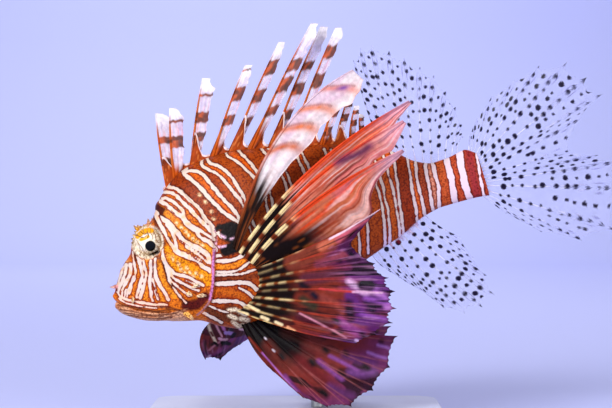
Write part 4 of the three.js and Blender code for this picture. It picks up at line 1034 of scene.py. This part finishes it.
# Soft back fin, anal fin and tail fin. Each is a clear resin membrane over thin forked rays, with
# dark spots painted in rows. Their roots are sunk into the back, the belly and the tail stalk.
SOFT_BACK_TIPS = [
    (171.5, 88), (177.5, 94), (184.6, 94), (193, 87.5), (200, 81), (207.2, 73), (213.5, 66),
    (217.9, 55.5), (220.5, 44.8), (221, 34), (219.5, 27),
]
ANAL_TIPS = [
    (157, -36), (165, -46), (173, -55), (180.5, -66), (190.4, -71.6), (201, -70.6), (210.2, -66.4),
    (209, -54), (205, -42), (201, -28),
]
CAUDAL_TIPS = [
    (222.5, 26), (230, 34.8), (242.5, 44.8), (258, 50.3), (274, 53.7), (290, 51), (298, 39), (304, 27),
    (288, 17.5), (276, 1.5), (291, -6), (301, -13), (299.5, -28), (289, -51), (268, -51), (247, -39.2),
    (230, -22.5),
]


def fan(rays, fine, rows, notch, web_half, ray_half, ray_width, forked=0.0, spikes=3):
    """A membrane over a row of rays, each raised on both faces, as grids over the fin."""
    rays = np.asarray(rays, float)
    row_at = np.linspace(0, len(rays) - 1, (len(rays) - 1) * fine + 1)
    k = np.minimum(row_at.astype(int), len(rays) - 2)
    f = (row_at - k)[:, None]
    edge = notch * (4 * f * (1 - f)) ** 0.7 + 0.35 * notch * np.abs(np.sin(spikes * math.pi * f))
    t = np.linspace(0, 1, rows) * (1 - edge)
    near, far = (np.stack([ray_place(*rays[n], t_) for n, t_ in zip(m, t)]) for m in (k, k + 1))
    middle = near + (far - near) * f[..., None]
    gap = np.linalg.norm(far - near, axis=-1)
    length = np.cumsum(np.linalg.norm(np.gradient(middle, axis=1), axis=-1), axis=1)
    apart = np.minimum(f, 1 - f) * gap
    split = np.abs(apart - forked * gap * smooth(0.4, 1, t))
    ridge_share = np.exp(-((split / (ray_width * (1.2 - 0.6 * t))) ** 2))
    half = web_half + (ray_half * (1 - 0.7 * t) - web_half * 0.2) * ridge_share
    return {
        "middle": middle, "half": half, "row": row_at[:, None] + 0 * t, "share": t, "apart": apart,
        "length": length, "ray": ridge_share, "gap": gap,
    }


MOST_SPOTS = 40


def spotted(fin, step, size, first, seed):
    """How deep inside a dark spot each place of a fin lies, in mm. Spots sit in rows along the rays,
    and in rows between them over the outer half of the fin."""
    draw = np.random.default_rng(seed)
    each = (MOST_SPOTS, MOST_SPOTS)
    starts = first + draw.uniform(-0.5, 0.5, MOST_SPOTS) * step
    shifts = draw.normal(0, 0.12 * step, each)
    asides = draw.normal(0, 0.4, each)
    sizes = size * draw.uniform(0.55, 1.15, each)
    best = np.full(fin["row"].shape, -1.0)
    on_rays = (np.round(fin["row"]), first * 0.6)
    between = (np.floor(fin["row"]) + 0.5, 0.55 * fin["length"][:, -1:])
    for ray, lowest in (on_rays, between):
        key = np.minimum(np.round(2 * ray).astype(int), MOST_SPOTS - 1)
        number = np.round((fin["length"] - starts[key]) / step).astype(int)
        number = np.clip(number, 0, MOST_SPOTS - 1)
        at = starts[key] + number * step + shifts[key, number]
        across = (fin["row"] - ray) * fin["gap"] - asides[key, number]
        depth = sizes[key, number] - np.hypot(fin["length"] - at, across)
        best = np.where(at > lowest, np.maximum(best, depth), best)
    return best


SPOT_STEP = 6.2


def clear_fin(name, node, root_at, tips, bow, wave, seed, size, first, warm):
    """A see-through soft fin in the fish's middle plane."""
    rays = []
    for k, (u, w) in enumerate(tips):
        root_u, root_w = root_at(k / (len(tips) - 1))
        root, tip = np.array((root_u, 0, root_w)), np.array((u, 0, w))
        rays.append((root, (root + tip) / 2 + (bow[0], 0, bow[1]), tip))
    fin = fan(
        rays, fine=18, rows=130, notch=0.05, web_half=0.15, ray_half=0.42, ray_width=0.26, forked=0.2
    )
    t, ray = fin["share"], fin["ray"]
    fin["middle"][..., 1] += wave * t * np.sin(fin["row"] / (len(tips) - 1) * 3 * math.pi)
    fin["middle"][..., 1] += 0.5 * t * np.sin(fin["row"] * 2 * math.pi)
    dark = smooth(-0.1, 0.15, spotted(fin, SPOT_STEP, size, first, seed))
    colours = blend("#BCBEEC", blend("#F4F0FF", "#6C6AA8", smooth(0.45, 0.95, t)), ray)
    near_root = (1 - smooth(0.03, 0.16, t + 0.1 * soft_noise(fin["row"] * 3, t * 12, seed))) * warm
    colours = blend(colours, "#D85A4A", near_root * 0.8)
    colours = blend(colours, blend("#17102C", "#A02030", near_root), dark)
    cover = 0.11 + 0.5 * ray + 0.08 * soft_noise(fin["row"] * 2, t * 9, seed + 1)
    cover = np.maximum(cover, 0.75 * near_root)
    cover = cover + (0.97 - cover) * dark
    values = {"ground": colours, "solid": np.minimum(cover, 1)}
    piece = joined(name, [sheet(fin["middle"], fin["half"], values)])
    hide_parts(node)
    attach(piece, "root")
    return piece


membrane = fin_material("Clear_Resin_Membrane", Roughness=0.3)
soft_fins = [
    clear_fin(
        "soft_back_fin", "dorsal_fin_soft", lambda t: (172.5 + 40.5 * t, along(BACK, 172.5 + 40.5 * t) - 3),
        SOFT_BACK_TIPS, bow=(-1.5, 1), wave=2, seed=3, size=1.3, first=10, warm=0.3,
    ),
    clear_fin(
        "anal_fin_clear", "anal_fin", lambda t: (148 + 36 * t, along(BELLY, 148 + 36 * t) + 3),
        ANAL_TIPS, bow=(-1, -1), wave=2, seed=5, size=1.5, first=8, warm=1.0,
    ),
    clear_fin(
        "tail_fin", "caudal_fin", lambda t: (219.5, 15.5 - 24.1 * t),
        CAUDAL_TIPS, bow=(0, 0), wave=3, seed=9, size=1.6, first=12, warm=0.3,
    ),
]
for piece in soft_fins:
    piece.data.materials.append(membrane)

# Breast fins. Four free rays with their own strips of membrane stand above a broad fan of nine
# more, all from one curved root behind the gill cover. They are painted resin, and the right fin
# wears the left one's colours on its own shape.
FIN_ROOT_ARC = [
    (74.5, 4.5), (79.4, -2.9), (83.2, -9.9), (83.4, -17.1), (80.3, -23.3), (74.1, -28), (66, -31),
]
# How a strip of membrane widens from root to tip, as shares of its full width.
BLADE_SPREAD = [(0, 0.2), (0.35, 0.75), (0.6, 1), (0.88, 1), (1, 0.5)]
FREE_SPREAD = [(0, 0.25), (0.35, 0.8), (0.6, 1), (0.85, 0.85), (1, 0.2)]
POINTED_SPREAD = [(0, 0.2), (0.35, 0.85), (0.62, 1), (0.78, 0.45), (1, 0.06)]
# Free rays: a point half way along, the tip, the strip's width and how it swells. Fan rays: half
# way, tip.
LEFT_FREE_RAYS = [
    ((116.5, 30.5, 56.5), (168, 34, 80.5), 16, BLADE_SPREAD),
    ((130, 33.5, 34.5), (192.6, 38, 54.6), 10, FREE_SPREAD),
    ((128, 35, 27.5), (186, 41, 45), 14, FREE_SPREAD),
    ((124, 37, 16), (180.6, 47, 29.5), 27, POINTED_SPREAD),
]
LEFT_FAN_RAYS = [
    ((119.5, 46, -6.4), (159, 58, 1.9)), ((114, 46, -12.5), (138, 60, -11.5)),
    ((114, 46, -19.5), (147.5, 59, -25.7)), ((113, 46, -25), (152.4, 58, -35.4)),
    ((113.4, 46, -30.5), (153.6, 57, -43.6)), ((111, 45, -37.5), (151.6, 56, -52.8)),
    ((107, 43, -43), (147.4, 54, -60)), ((102, 41, -47.5), (137, 51, -64)),
    ((96, 38, -50.3), (125.4, 48, -65.5)),
]
RIGHT_FREE_RAYS = [
    ((107, 64, 34), (134, 100, 45), 15, BLADE_SPREAD), ((109, 68, 22), (142, 108, 34), 10, FREE_SPREAD),
    ((109, 70, 12), (140, 112, 20), 12, FREE_SPREAD), ((107, 71, 3), (135, 114, 6), 15, POINTED_SPREAD),
]
RIGHT_FAN_RAYS = [
    ((104, 70, -5), (127, 112, -8)), ((102, 68, -12), (119, 107, -19)), ((98, 65, -19), (111, 101, -29)),
    ((93, 61, -25), (101, 93, -38)), ((86, 56, -31), (90, 84, -46)), ((78, 50, -36), (75, 74, -51.5)),
    ((67, 45, -40.5), (56, 66, -55)), ((53, 41, -42.5), (42.5, 56, -60)),
    ((39.5, 38, -38.5), (34.5, 51, -56.5)),
]
# Strokes on the fan, on the left side as the photograph shows them: colour, width in mm, points.
FAN_STROKES = [
    ("#7A3424", 9, [(292, 262), (312, 254), (330, 243)]),
    ("#C4644A", 5, [(322, 247), (336, 238), (345, 230)]),
    ("#C85A70", 3, [(338, 240), (352, 228), (366, 219)]),
    ("#5A2430", 7, [(306, 279), (322, 277), (338, 274)]),
    ("#8A3A4A", 4, [(318, 264), (332, 260), (343, 254)]),
    # A painted pink-white highlight on the membrane, beside the dark blotch.
    ("#D8A8CC", 3.4, [(349, 281), (357, 287), (366, 293)]),
    ("#B06AB8", 4, [(374, 290), (384, 297), (388, 308)]),
    ("#6A2418", 7, [(300, 298), (318, 304), (333, 310)]),
    ("#3A3020", 5, [(303, 300), (314, 306)]),
    ("#8A3A30", 4, [(322, 298), (336, 304), (342, 312)]),
    ("#5E2468", 6, [(350, 296), (358, 308), (362, 320)]),
    ("#8E4AA0", 3, [(366, 298), (376, 300), (386, 303)]),
    ("#8E4AA0", 2.5, [(362, 314), (374, 317), (386, 320)]),
    ("#8A3C7A", 5, [(340, 320), (350, 328), (362, 334)]),
    ("#4A1420", 5, [(300, 316), (316, 322), (330, 326)]),
    ("#160C1A", 6.5, [(363, 285), (370, 285.5)]),
    ("#1A1020", 4, [(370.5, 308), (373, 309)]),
    ("#1A1020", 3.4, [(313, 294), (316, 297)]),
    ("#200E1C", 5, [(349, 304), (351, 318)]),
    ("#200E1C", 3.4, [(362, 334), (365, 337)]),
    ("#201018", 4, [(302, 285), (308, 289)]),
    ("#1C0F16", 3, [(334, 318), (338, 322)]),
    ("#2A1020", 2, [(347, 250), (356, 247), (361, 253), (357, 261), (348, 260)]),
    ("#140C18", 3, [(351, 254), (354, 256)]),
]
# How strongly each ray of the fan shows its bands, and pale strokes that come over all the rest.
RAY_STRENGTH = [0.8, 0.35, 0.5, 1, 0.3, 0.9, 0.5, 0.75, 1]
FIN_GLOW_STROKES = [
    ("#F2CCD8", 1.2, [(330, 239), (345, 231), (362, 220), (380, 209)]),
    ("#C83C3C", 1.1, [(320, 288.6), (338, 290.6), (354, 292)]),
    ("#DCA8C8", 1, [(353, 292), (370, 292.6), (382, 293)]),
    ("#C87E90", 0.9, [(300, 313.5), (312, 319.5), (323, 325), (335, 331.4), (346, 337.6)]),
    ("#F2D9A6", 2.6, [(232, 309), (240, 313), (247, 315)]),
    ("#F4DCA8", 1.6, [(243, 302), (251, 307), (259, 311)]),
    ("#F4DCA8", 1.8, [(262, 317), (268, 319.4)]),
    ("#F4DCA8", 1.6, [(276, 322), (282, 324.6)]),
    ("#E8A070", 1.5, [(288, 327), (295, 331)]),
    ("#F0D0C8", 1.5, [(300, 334), (307, 337)]),
    ("#D8A0B8", 1.7, [(315, 338), (322, 341)]),
    ("#C890C8", 1.9, [(330, 342), (337, 346)]),
    ("#C890C8", 1.9, [(345, 347), (352, 351)]),
    ("#B880C8", 2, [(360, 349), (368, 351)]),
    ("#D8B0D8", 1.6, [(356, 340), (362, 343)]),
    ("#D8B0D8", 1.4, [(370, 338), (377, 341)]),
]


def fin_root(t, side):
    """A place along the curved root of a breast fin, on the flank."""
    line = curved(FIN_ROOT_ARC, 20)
    at = t * (len(line) - 1)
    u, w = (np.interp(at, np.arange(len(line)), line[:, c]) for c in (0, 1))
    raised = bump(u, w, FIN_ROOT_AT, FIN_ROOT_SIZE, FIN_ROOT_RISE)
    return np.array((u, side * (flank(u, w) + raised + 0.2), w))


def free_rays_of(rows, side, total):
    """The grids of the free rays of one breast fin."""
    grids = []
    t = np.linspace(0, 1, 130)
    for k, (through, tip, wide, spread) in enumerate(rows):
        turned = np.array((1, side, 1))
        line = ray_place(fin_root(k / (total - 1), side), turned * through, turned * tip, t)
        ragged = soft_noise(t * 22, np.full(t.shape, 9.0 * k), 21) - 0.5
        width = wide * along(spread, t) * (1 + 0.16 * ragged * smooth(0.3, 0.7, t))
        rod = 1 - 0.65 * t
        middle, half, share = vane(line, np.array((0.5, 0, -0.85)), rod, width, web_half=0.2, columns=30)
        folds = soft_noise(share * 5 + 3 * k, t * 3 + 0 * share, 22) - 0.5
        cupped = 0.8 * np.sin(share * math.pi) * t
        middle[..., 1] -= side * (cupped - 3.2 * folds * share * smooth(0.1, 0.5, t))
        grids.append((middle, half, share, t + 0 * share))
    return grids


def blade_colours(share, t):
    """The uppermost free ray: a white blade with arched salmon bars over a dark foot."""
    fibre = soft_noise(share * 10, t * 5, 31)
    colours = blend("#E6CCCC", "#F8ECE6", fibre)
    colours = blend(colours, "#DDB0C8", smooth(0.55, 0.8, soft_noise(share * 4, t * 7, 32)) * 0.5)
    arch = t - 0.1 * share - 0.03 * np.sin(share * math.pi)
    for at, tone in ((0.43, "#D0622A"), (0.55, "#E07034"), (0.675, "#E67A44"), (0.83, "#E88A74")):
        strength = (0.7 + 0.3 * fibre) * (1 - 0.35 * smooth(0.6, 1, share))
        colours = blend(colours, tone, np.exp(-(((arch - at) / 0.026) ** 2)) * strength)
        edge = np.exp(-(((arch - at - 0.022) / 0.008) ** 2)) * (share < 0.7)
        colours = blend(colours, "#8A3420", edge * 0.5)
    colours = blend(colours, "#7A4A98", np.exp(-(((arch - 0.83) / 0.02) ** 2) - ((share - 0.4) / 0.16) ** 2))
    foot = 1 - smooth(0.28, 0.42, t + 0.06 * share + 0.1 * (fibre - 0.5))
    dark = blend("#160904", "#7A3A14", smooth(0.4, 1, soft_noise(share * 6, t * 14, 33)))
    colours = blend(colours, dark, foot)
    lead = (share < 0.03) * smooth(0.1, 0.2, t) * (1 - smooth(0.4, 0.65, t))
    return blend(colours, "#C8582C", lead * 0.6), 0.9 + 0.08 * foot


# The three lower free rays: dark and light colour, and how far out the black foot reaches.
FEATHERS = [("#A42C14", "#F0723E", 0.4), ("#A83C28", "#EE8A6A", 0.46), ("#8A2E1A", "#CE6A44", 0.5)]
# Streaks on them: seed, how many across, colour, strength. The two dark red ones are painted shade in the
# folds.
FEATHER_STREAKS_AND_FOLD_SHADE = [
    (42, 13, "#E8481C", 0.85), (43, 5, "#DC6484", 0.4), (44, 13, "#F8D4CC", 0.6),
    (46, 9, "#6E160C", 0.85), (47, 30, "#F0A084", 0.4), (48, 22, "#8A2414", 0.5),
]


def feather_colours(share, t, k):
    """A lower free ray: red and salmon streaks and painted shade of its folds, with a banded shaft and a
    near-black foot.
    """
    deep, light, foot_end = FEATHERS[k - 1]
    fibre = soft_noise(share * 8 + 7 * k, t * 3.5, 41)
    colours = blend(deep, light, fibre)
    # Streaks of the ray's own colours, and dark red painted shade in its folds.
    for seed, fine, code, strength in FEATHER_STREAKS_AND_FOLD_SHADE:
        streak = smooth(0.6, 0.76, soft_noise(share * fine + 3 * k + 2 * t, t * 3 + 5 * k, seed))
        colours = blend(colours, code, streak * strength * smooth(0.18, 0.4, t))
    upper = (1 - smooth(0.1, 0.5, share)) * smooth(0.3, 0.45, t) * (1 - smooth(0.8, 1, t)) * (k == 1)
    colours = blend(colours, "#F0602A", upper * (0.2 + 0.4 * fibre))
    colours = blend(colours, "#F2C0D8", smooth(0.75, 1, t) * 0.5)
    foot = 1 - smooth(0.28, foot_end, t + 0.2 * (fibre - 0.5) + 0.04 * share)
    dark = blend("#100503", "#6A3412", smooth(0.62, 0.85, soft_noise(share * 9, t * 16 + 4 * k, 45)))
    colours = blend(colours, dark, foot)
    shaft = share < 0.04
    colours = blend(colours, "#E0441A", shaft * (1 - smooth(0.75, 1, t)))
    band = smooth(-0.75, -0.2, np.sin(t * 52 + 2 * k))
    near_root = shaft * (1 - smooth(0.3, 0.42, t))
    return blend(colours, blend("#6E2A0E", "#F4D898", band), near_root), 0.93 + 0.05 * foot


def fan_colours(fin, spots):
    """The fan: banded rays on near black at the root, then brick red, then purple with dark blotches."""
    t, ray, row = fin["share"], fin["ray"], fin["row"]
    fibre = soft_noise(row * 3.1, t * 6, 51)
    cloud = soft_noise(row * 1.3, t * 4, 55)
    colours = blend("#120604", "#7A2A1C", smooth(0.24, 0.5, t + 0.14 * (fibre - 0.5)))
    colours = blend(colours, blend("#3E0E2A", "#6A287C", cloud), smooth(0.58, 0.86, t + 0.25 * (fibre - 0.5)))
    warm = smooth(0.5, 0.8, soft_noise(row * 2, t * 5, 52)) * smooth(0.3, 0.45, t)
    colours = blend(colours, "#8E3A2C", warm * 0.6)
    dark = smooth(0.55, 0.7, soft_noise(row * 1.9, t * 8, 53)) * smooth(0.3, 0.45, t)
    colours = blend(colours, "#16070C", dark * 0.92)
    colours = brushed(colours, spots, FAN_STROKES, 2.4)
    pink = smooth(0.64, 0.8, soft_noise(row * 7, t * 7, 54)) * smooth(0.55, 0.8, t)
    colours = blend(colours, "#C888B8", pink * 0.3)
    # Painted shade in the folds of the membrane.
    fold_shade = smooth(0.6, 0.8, soft_noise(row * 12, t * 4, 56)) * smooth(0.35, 0.6, t)
    colours = blend(colours, "#1C0812", fold_shade * 0.75)
    red = ray * smooth(0.25, 0.4, t) * (1 - smooth(0.6, 0.85, t))
    colours = blend(colours, "#B8361E", red * 0.55)
    colours = blend(colours, "#B870A8", ray * smooth(0.6, 0.85, t) * 0.3)
    number = np.round(row)
    phase = number * 2.1 + 5 * soft_noise(number * 3, t * 8, 57)
    band = smooth(-0.8, 0.4, np.sin(fin["length"] * 0.55 + phase))
    shown = np.array(RAY_STRENGTH)[number.astype(int)] * (0.5 + 0.5 * soft_noise(number * 5, t * 7, 58))
    tone = blend("#9A4A1C", "#F2D090", band)
    colours = blend(colours, tone, np.minimum(1, ray * 1.6) * shown * (1 - smooth(0.3, 0.46, t)))
    colours = blend(colours, "#2A0814", smooth(0.96, 0.985, t) * 0.85)
    return brushed(colours, spots, FIN_GLOW_STROKES, 0.8), 0.97 - 0.06 * smooth(0.6, 1, t)


breast_membrane = fin_material("Painted_Resin_Breast_Fin", Roughness=0.45)
# A dark smudge on the left fin's lower free rays, then strokes on the right fan, where it shows
# below the jaw.
SMUDGES = [
    ("#7E3A56", 4.4, [(338, 163), (349, 157), (361, 153), (370, 146)]),
    ("#4A2040", 1, [(342, 160), (351, 158), (359, 153), (367, 148)]),
]
RIGHT_STROKES = [
    ("#4E101A", 22, [(206, 330), (222, 334), (240, 332)]),
    ("#F2DCBC", 1.7, [(203.4, 325), (201.6, 334), (203, 345), (206, 356)]),
    ("#C0461C", 1.5, [(202.6, 328), (202, 331)]), ("#5A1414", 1.5, [(202.6, 343), (204, 348)]),
    ("#C878B8", 2, [(212, 325), (215, 333), (217, 340)]),
    ("#E0A0B0", 1.2, [(208.6, 330), (211, 341), (214, 349)]),
    ("#2A0812", 2.2, [(218, 323), (221.6, 333), (224.6, 342)]), ("#B890DC", 2.8, [(219, 344), (224, 347)]),
    ("#E4A8C0", 2, [(211, 352), (217.6, 353.6)]), ("#12060C", 2.6, [(224, 351), (226.4, 347.6)]),
    ("#12060C", 3, [(214, 356.6), (219.6, 360)]), ("#12060C", 2, [(205, 357), (207, 359)]),
    ("#EE9468", 3, [(222.6, 326), (226.6, 331.6)]), ("#B49CE8", 3, [(229, 334), (236, 334.6)]),
    ("#180A18", 1.8, [(231, 338), (237, 336.6), (239.6, 343)]),
    ("#F6C8D8", 2.2, [(233.6, 341.6), (236, 342.6)]),
]
RAY_COUNT = len(LEFT_FREE_RAYS) + len(LEFT_FAN_RAYS)
painted = {}
for side, name, node, free_rows, fan_rows in (
    (-1, "left", "pectoral_fin_left", LEFT_FREE_RAYS, LEFT_FAN_RAYS),
    (1, "right", "pectoral_fin_right", RIGHT_FREE_RAYS, RIGHT_FAN_RAYS),
):
    sheets = []
    for k, (middle, half, share, t) in enumerate(free_rays_of(free_rows, side, RAY_COUNT)):
        colours, cover = blade_colours(share, t) if k == 0 else feather_colours(share, t, k)
        if side < 0:
            spots = on_photo(middle.reshape(-1, 3))
            painted[k] = brushed(colours, spots, SMUDGES if k > 0 else [], 4.5)
        sheets.append(sheet(middle, half, {"ground": painted[k], "solid": cover}))
    turned = np.array((1, side, 1))
    rays = [
        (fin_root((k + len(free_rows)) / (RAY_COUNT - 1), side), turned * through, turned * tip)
        for k, (through, tip) in enumerate(fan_rows)
    ]
    fin = fan(
        rays, fine=24, rows=120, notch=0.034, web_half=0.2, ray_half=0.85, ray_width=0.6,
        forked=0.16, spikes=4,
    )
    folds = soft_noise(fin["row"] * 1.3, fin["share"] * 3, 23) - 0.5
    bulge = np.sin((fin["row"] % 1) * math.pi)
    fin["middle"][..., 1] += side * fin["share"] * (1.4 * bulge + 5 * folds * (1 - np.exp(-fin["apart"] / 2)))
    spots = on_photo(fin["middle"].reshape(-1, 3))
    if side < 0:
        painted["fan"], fan_cover = fan_colours(fin, spots)
    colours = brushed(painted["fan"], spots, RIGHT_STROKES if side > 0 else [], 0.8)
    sheets.append(sheet(fin["middle"], fin["half"], {"ground": colours, "solid": fan_cover}))
    piece = joined(f"breast_fin_{name}", sheets)
    piece.data.materials.append(breast_membrane)
    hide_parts(node)
    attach(piece, "root")

# Belly fins. One spine and six soft rays each, under a dark membrane with pale streaks. They are
# painted resin, with their roots in the belly behind the gill covers, and sweep back and down.
# Tips of the rays, from the spine tailwards, and where their roots lie along the belly.
PELVIC_TIPS = [
    (77.6, 16, -72.4), (87.5, 20, -88.7), (99, 24, -97.2), (112, 28, -100.4), (126.4, 31, -95),
    (139.2, 34, -85), (148.4, 37, -69),
]
PELVIC_ROOTS = {"from": 65, "step": 2.2, "out": 9, "sunk": 4}
# Strokes as the photograph shows them: colour, width in mm, points.
PELVIC_STROKES = [
    ("#0B0507", 15, [(258, 330), (268, 338), (282, 350)]),
    ("#0B0507", 9, [(280, 333), (296, 341), (306, 348)]),
    ("#5E1C14", 6, [(268, 346), (277, 357), (287, 366)]),
    ("#4A1A14", 7, [(288, 330), (302, 335), (316, 342)]),
    ("#7A2E2A", 9, [(312, 344), (326, 352), (338, 362)]),
    ("#6A2022", 7, [(302, 362), (314, 372), (326, 384)]),
    ("#7A3A80", 2.2, [(285, 376), (291, 384), (298, 392)]),
    ("#7A3A80", 2.6, [(319, 361), (330, 370), (342, 379)]),
    ("#8A4A90", 2, [(330, 356), (344, 363), (358, 371)]),
    ("#5E2A60", 5, [(346, 356), (360, 360), (374, 362)]),
    ("#6E3C78", 4, [(350, 372), (362, 374), (374, 372)]),
    ("#5C2A5C", 4, [(330, 386), (342, 392), (352, 396)]),
    ("#9A60A8", 1.6, [(378, 345), (386, 347), (391, 349)]),
    ("#9A60A8", 1.6, [(368, 352), (378, 356), (386, 358)]),
    ("#14080E", 3.2, [(325, 349), (327, 351)]), ("#14080E", 3.4, [(311, 361), (313, 364)]),
    ("#14080E", 3, [(281, 355), (283, 358)]), ("#14080E", 3, [(365, 366), (368, 368)]),
    ("#14080E", 3.4, [(322, 392), (326, 395)]), ("#14080E", 2.6, [(345, 352), (347, 354)]),
    ("#14080E", 2.8, [(340, 372), (343, 374)]), ("#14080E", 2.6, [(300, 380), (302, 383)]),
    ("#E8D8E4", 0.9, [(265, 338), (266, 339)]), ("#E8D8E4", 1, [(273, 350), (274.4, 351.4)]),
    ("#7A2418", 1.3, [(249, 338), (268, 360), (286, 380), (303, 398)]),
    ("#A060B0", 0.9, [(262, 353), (280, 373), (297, 391)]),
]


def belly_fin(name, node, side):
    """The belly fin of one side."""
    rays = []
    for k, (u, v, w) in enumerate(PELVIC_TIPS):
        at = PELVIC_ROOTS["from"] + PELVIC_ROOTS["step"] * k
        root = np.array((at, side * PELVIC_ROOTS["out"], along(BELLY, at) + PELVIC_ROOTS["sunk"]))
        tip = np.array((u, side * v, w))
        rays.append((root, (root + tip) / 2 + (-2 if k < 2 else 0, side * 2, -2), tip))
    fin = fan(
        rays, fine=24, rows=110, notch=0.03, web_half=0.18, ray_half=0.7, ray_width=0.5,
        forked=0.16, spikes=5,
    )
    t, ray, row = fin["share"], fin["ray"], fin["row"]
    folds = soft_noise(row * 1.6, t * 3, 62) - 0.5
    fin["middle"][..., 1] += side * t * (1.2 * np.sin((row % 1) * math.pi) + 3 * folds)
    fibre = soft_noise(row * 4, t * 6, 61)
    colours = blend("#120506", "#74241E", smooth(0.3, 0.55, t + 0.2 * (fibre - 0.5)))
    colours = blend(colours, "#6A2C60", smooth(0.65, 0.95, t + 0.2 * (fibre - 0.5)) * 0.8)
    dark = smooth(0.58, 0.72, soft_noise(row * 2.4, t * 9, 63)) * smooth(0.35, 0.5, t)
    colours = blend(colours, "#16060A", dark * 0.85)
    spots = on_photo(fin["middle"].reshape(-1, 3))
    for stroke in PELVIC_STROKES:
        colours = brushed(colours, spots, [stroke], 0.8 * stroke[1])
    colours = blend(colours, "#B06060", ray * smooth(0.4, 0.6, t) * 0.45)
    colours = blend(colours, "#10060E", smooth(0.96, 0.985, t) * 0.85)
    cover = 0.97 - 0.05 * smooth(0.7, 1, t)
    piece = joined(name, [sheet(fin["middle"], fin["half"], {"ground": colours, "solid": cover})])
    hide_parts(node)
    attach(piece, "root")
    return piece


belly_membrane = fin_material("Painted_Resin_Belly_Fin", Roughness=0.5)
for name, side in (("left", -1), ("right", 1)):
    belly_fin(f"belly_fin_{name}", f"pelvic_fin_{name}", side).data.materials.append(belly_membrane)

# Stand. A lacquered board with one brushed steel rod up to the belly. Both are kept as the frame
# has them, and only get their finish here.
lacquer, shader = new_material("Lilac_Grey_Lacquer", Specular_IOR_Level=0.4)
place = add_node(lacquer, "ShaderNodeTexCoord")
cloud = add_node(lacquer, "ShaderNodeTexNoise", {"Vector": place.outputs["Object"], "Scale": 30, "Detail": 4})
tone = add_node(
    lacquer, "ShaderNodeValToRGB", {"Fac": cloud.outputs["Fac"]}, [(0.3, "#C2C5DC"), (0.7, "#CDD0E4")]
)
link(lacquer, tone.outputs["Color"], shader.inputs["Base Color"])
gloss = add_node(
    lacquer, "ShaderNodeMapRange", {"Value": cloud.outputs["Fac"], "To Min": 0.36, "To Max": 0.46}
)
link(lacquer, gloss.outputs["Result"], shader.inputs["Roughness"])
peel = add_node(lacquer, "ShaderNodeTexNoise", {"Vector": place.outputs["Object"], "Scale": 900})
dimple = add_node(
    lacquer, "ShaderNodeBump", {"Height": peel.outputs["Fac"], "Strength": 0.1, "Distance": 0.0002}
)
link(lacquer, dimple.outputs["Normal"], shader.inputs["Normal"])
steel, shader = new_material("Brushed_Steel", Metallic=1.0)
place = add_node(steel, "ShaderNodeTexCoord")
stretched = add_node(steel, "ShaderNodeMapping", {"Vector": place.outputs["Object"], "Scale": (1, 1, 60)})
grain = add_node(
    steel, "ShaderNodeTexNoise", {"Vector": stretched.outputs["Vector"], "Scale": 60, "Detail": 4}
)
tone = add_node(
    steel, "ShaderNodeValToRGB", {"Fac": grain.outputs["Fac"]}, [(0.3, "#A8AAAE"), (0.7, "#CBCDD0")]
)
link(steel, tone.outputs["Color"], shader.inputs["Base Color"])
gloss = add_node(
    steel, "ShaderNodeMapRange", {"Value": grain.outputs["Fac"], "To Min": 0.24, "To Max": 0.42}
)
link(steel, gloss.outputs["Result"], shader.inputs["Roughness"])
for node, finish in (("stand_base", lacquer), ("stand_rod", steel)):
    for cad_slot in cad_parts[node].material_slots:
        cad_slot.material = finish

# Floor, backdrop and light. A pale lilac sheet of matt paper runs along the floor and up a far
# wall in one bend, under four soft studio lamps.
sweep, shader = new_material("Matt_Paper_Sweep", Roughness=0.9)
shader.inputs["Base Color"].default_value = (*hex_colour("#C4C9FA"), 1)
BEND_FROM, BEND_RADIUS = 2.6, 0.6
FLOOR_FRONT, WALL_TOP, HALF_SWEEP = -5.0, 5.0, 6.0
profile = [(FLOOR_FRONT, 0.0)]
for turn in np.linspace(0, math.pi / 2, 16):
    profile.append((BEND_FROM + BEND_RADIUS * math.sin(turn), BEND_RADIUS * (1 - math.cos(turn))))
profile.append((BEND_FROM + BEND_RADIUS, WALL_TOP))
sweep_points = [(x, y, z) for x in (-HALF_SWEEP, HALF_SWEEP) for y, z in profile]
mesh = bpy.data.meshes.new("paper_sweep")
count = len(profile)
mesh.from_pydata(sweep_points, [], [(k, k + count, k + count + 1, k + 1) for k in range(count - 1)])
mesh.shade_smooth()
paper = bpy.data.objects.new("paper_sweep", mesh)
paper.data.materials.append(sweep)
bpy.context.scene.collection.objects.link(paper)

# Lamps: name, place and aim in metres, size in metres, watts.
FISH_MIDDLE = (0, 0, 0.12)
for name, place_m, aim_m, size, watts in [
    ("key_lamp", (-0.8, -1.3, 0.9), FISH_MIDDLE, 0.6, 29),
    ("fill_lamp", (0.9, -1.2, 0.4), FISH_MIDDLE, 1.0, 9),
    ("back_lamp", (0.2, 0.9, 1.3), FISH_MIDDLE, 1.2, 7),
    ("paper_lamp", (-0.2, 1.9, 2), (-0.3, 3.2, 0.5), 0.8, 30),
]:
    lamp = bpy.data.objects.new(name, bpy.data.lights.new(name, "AREA"))
    lamp.data.size = size
    lamp.data.energy = watts
    lamp.location = place_m
    across, away, rise = np.array(aim_m) - np.array(place_m)
    pitch = math.pi / 2 + math.atan2(rise, math.hypot(across, away))
    lamp.rotation_euler = (pitch, 0, math.atan2(away, across) - math.pi / 2)
    bpy.context.scene.collection.objects.link(lamp)

world = bpy.data.worlds.new("studio")
bpy.context.scene.world = world
world.use_nodes = True
world.node_tree.nodes["Background"].inputs["Color"].default_value = (*hex_colour("#F2F0F4"), 1)
world.node_tree.nodes["Background"].inputs["Strength"].default_value = 0.3
bpy.context.scene.view_settings.view_transform = "Standard"
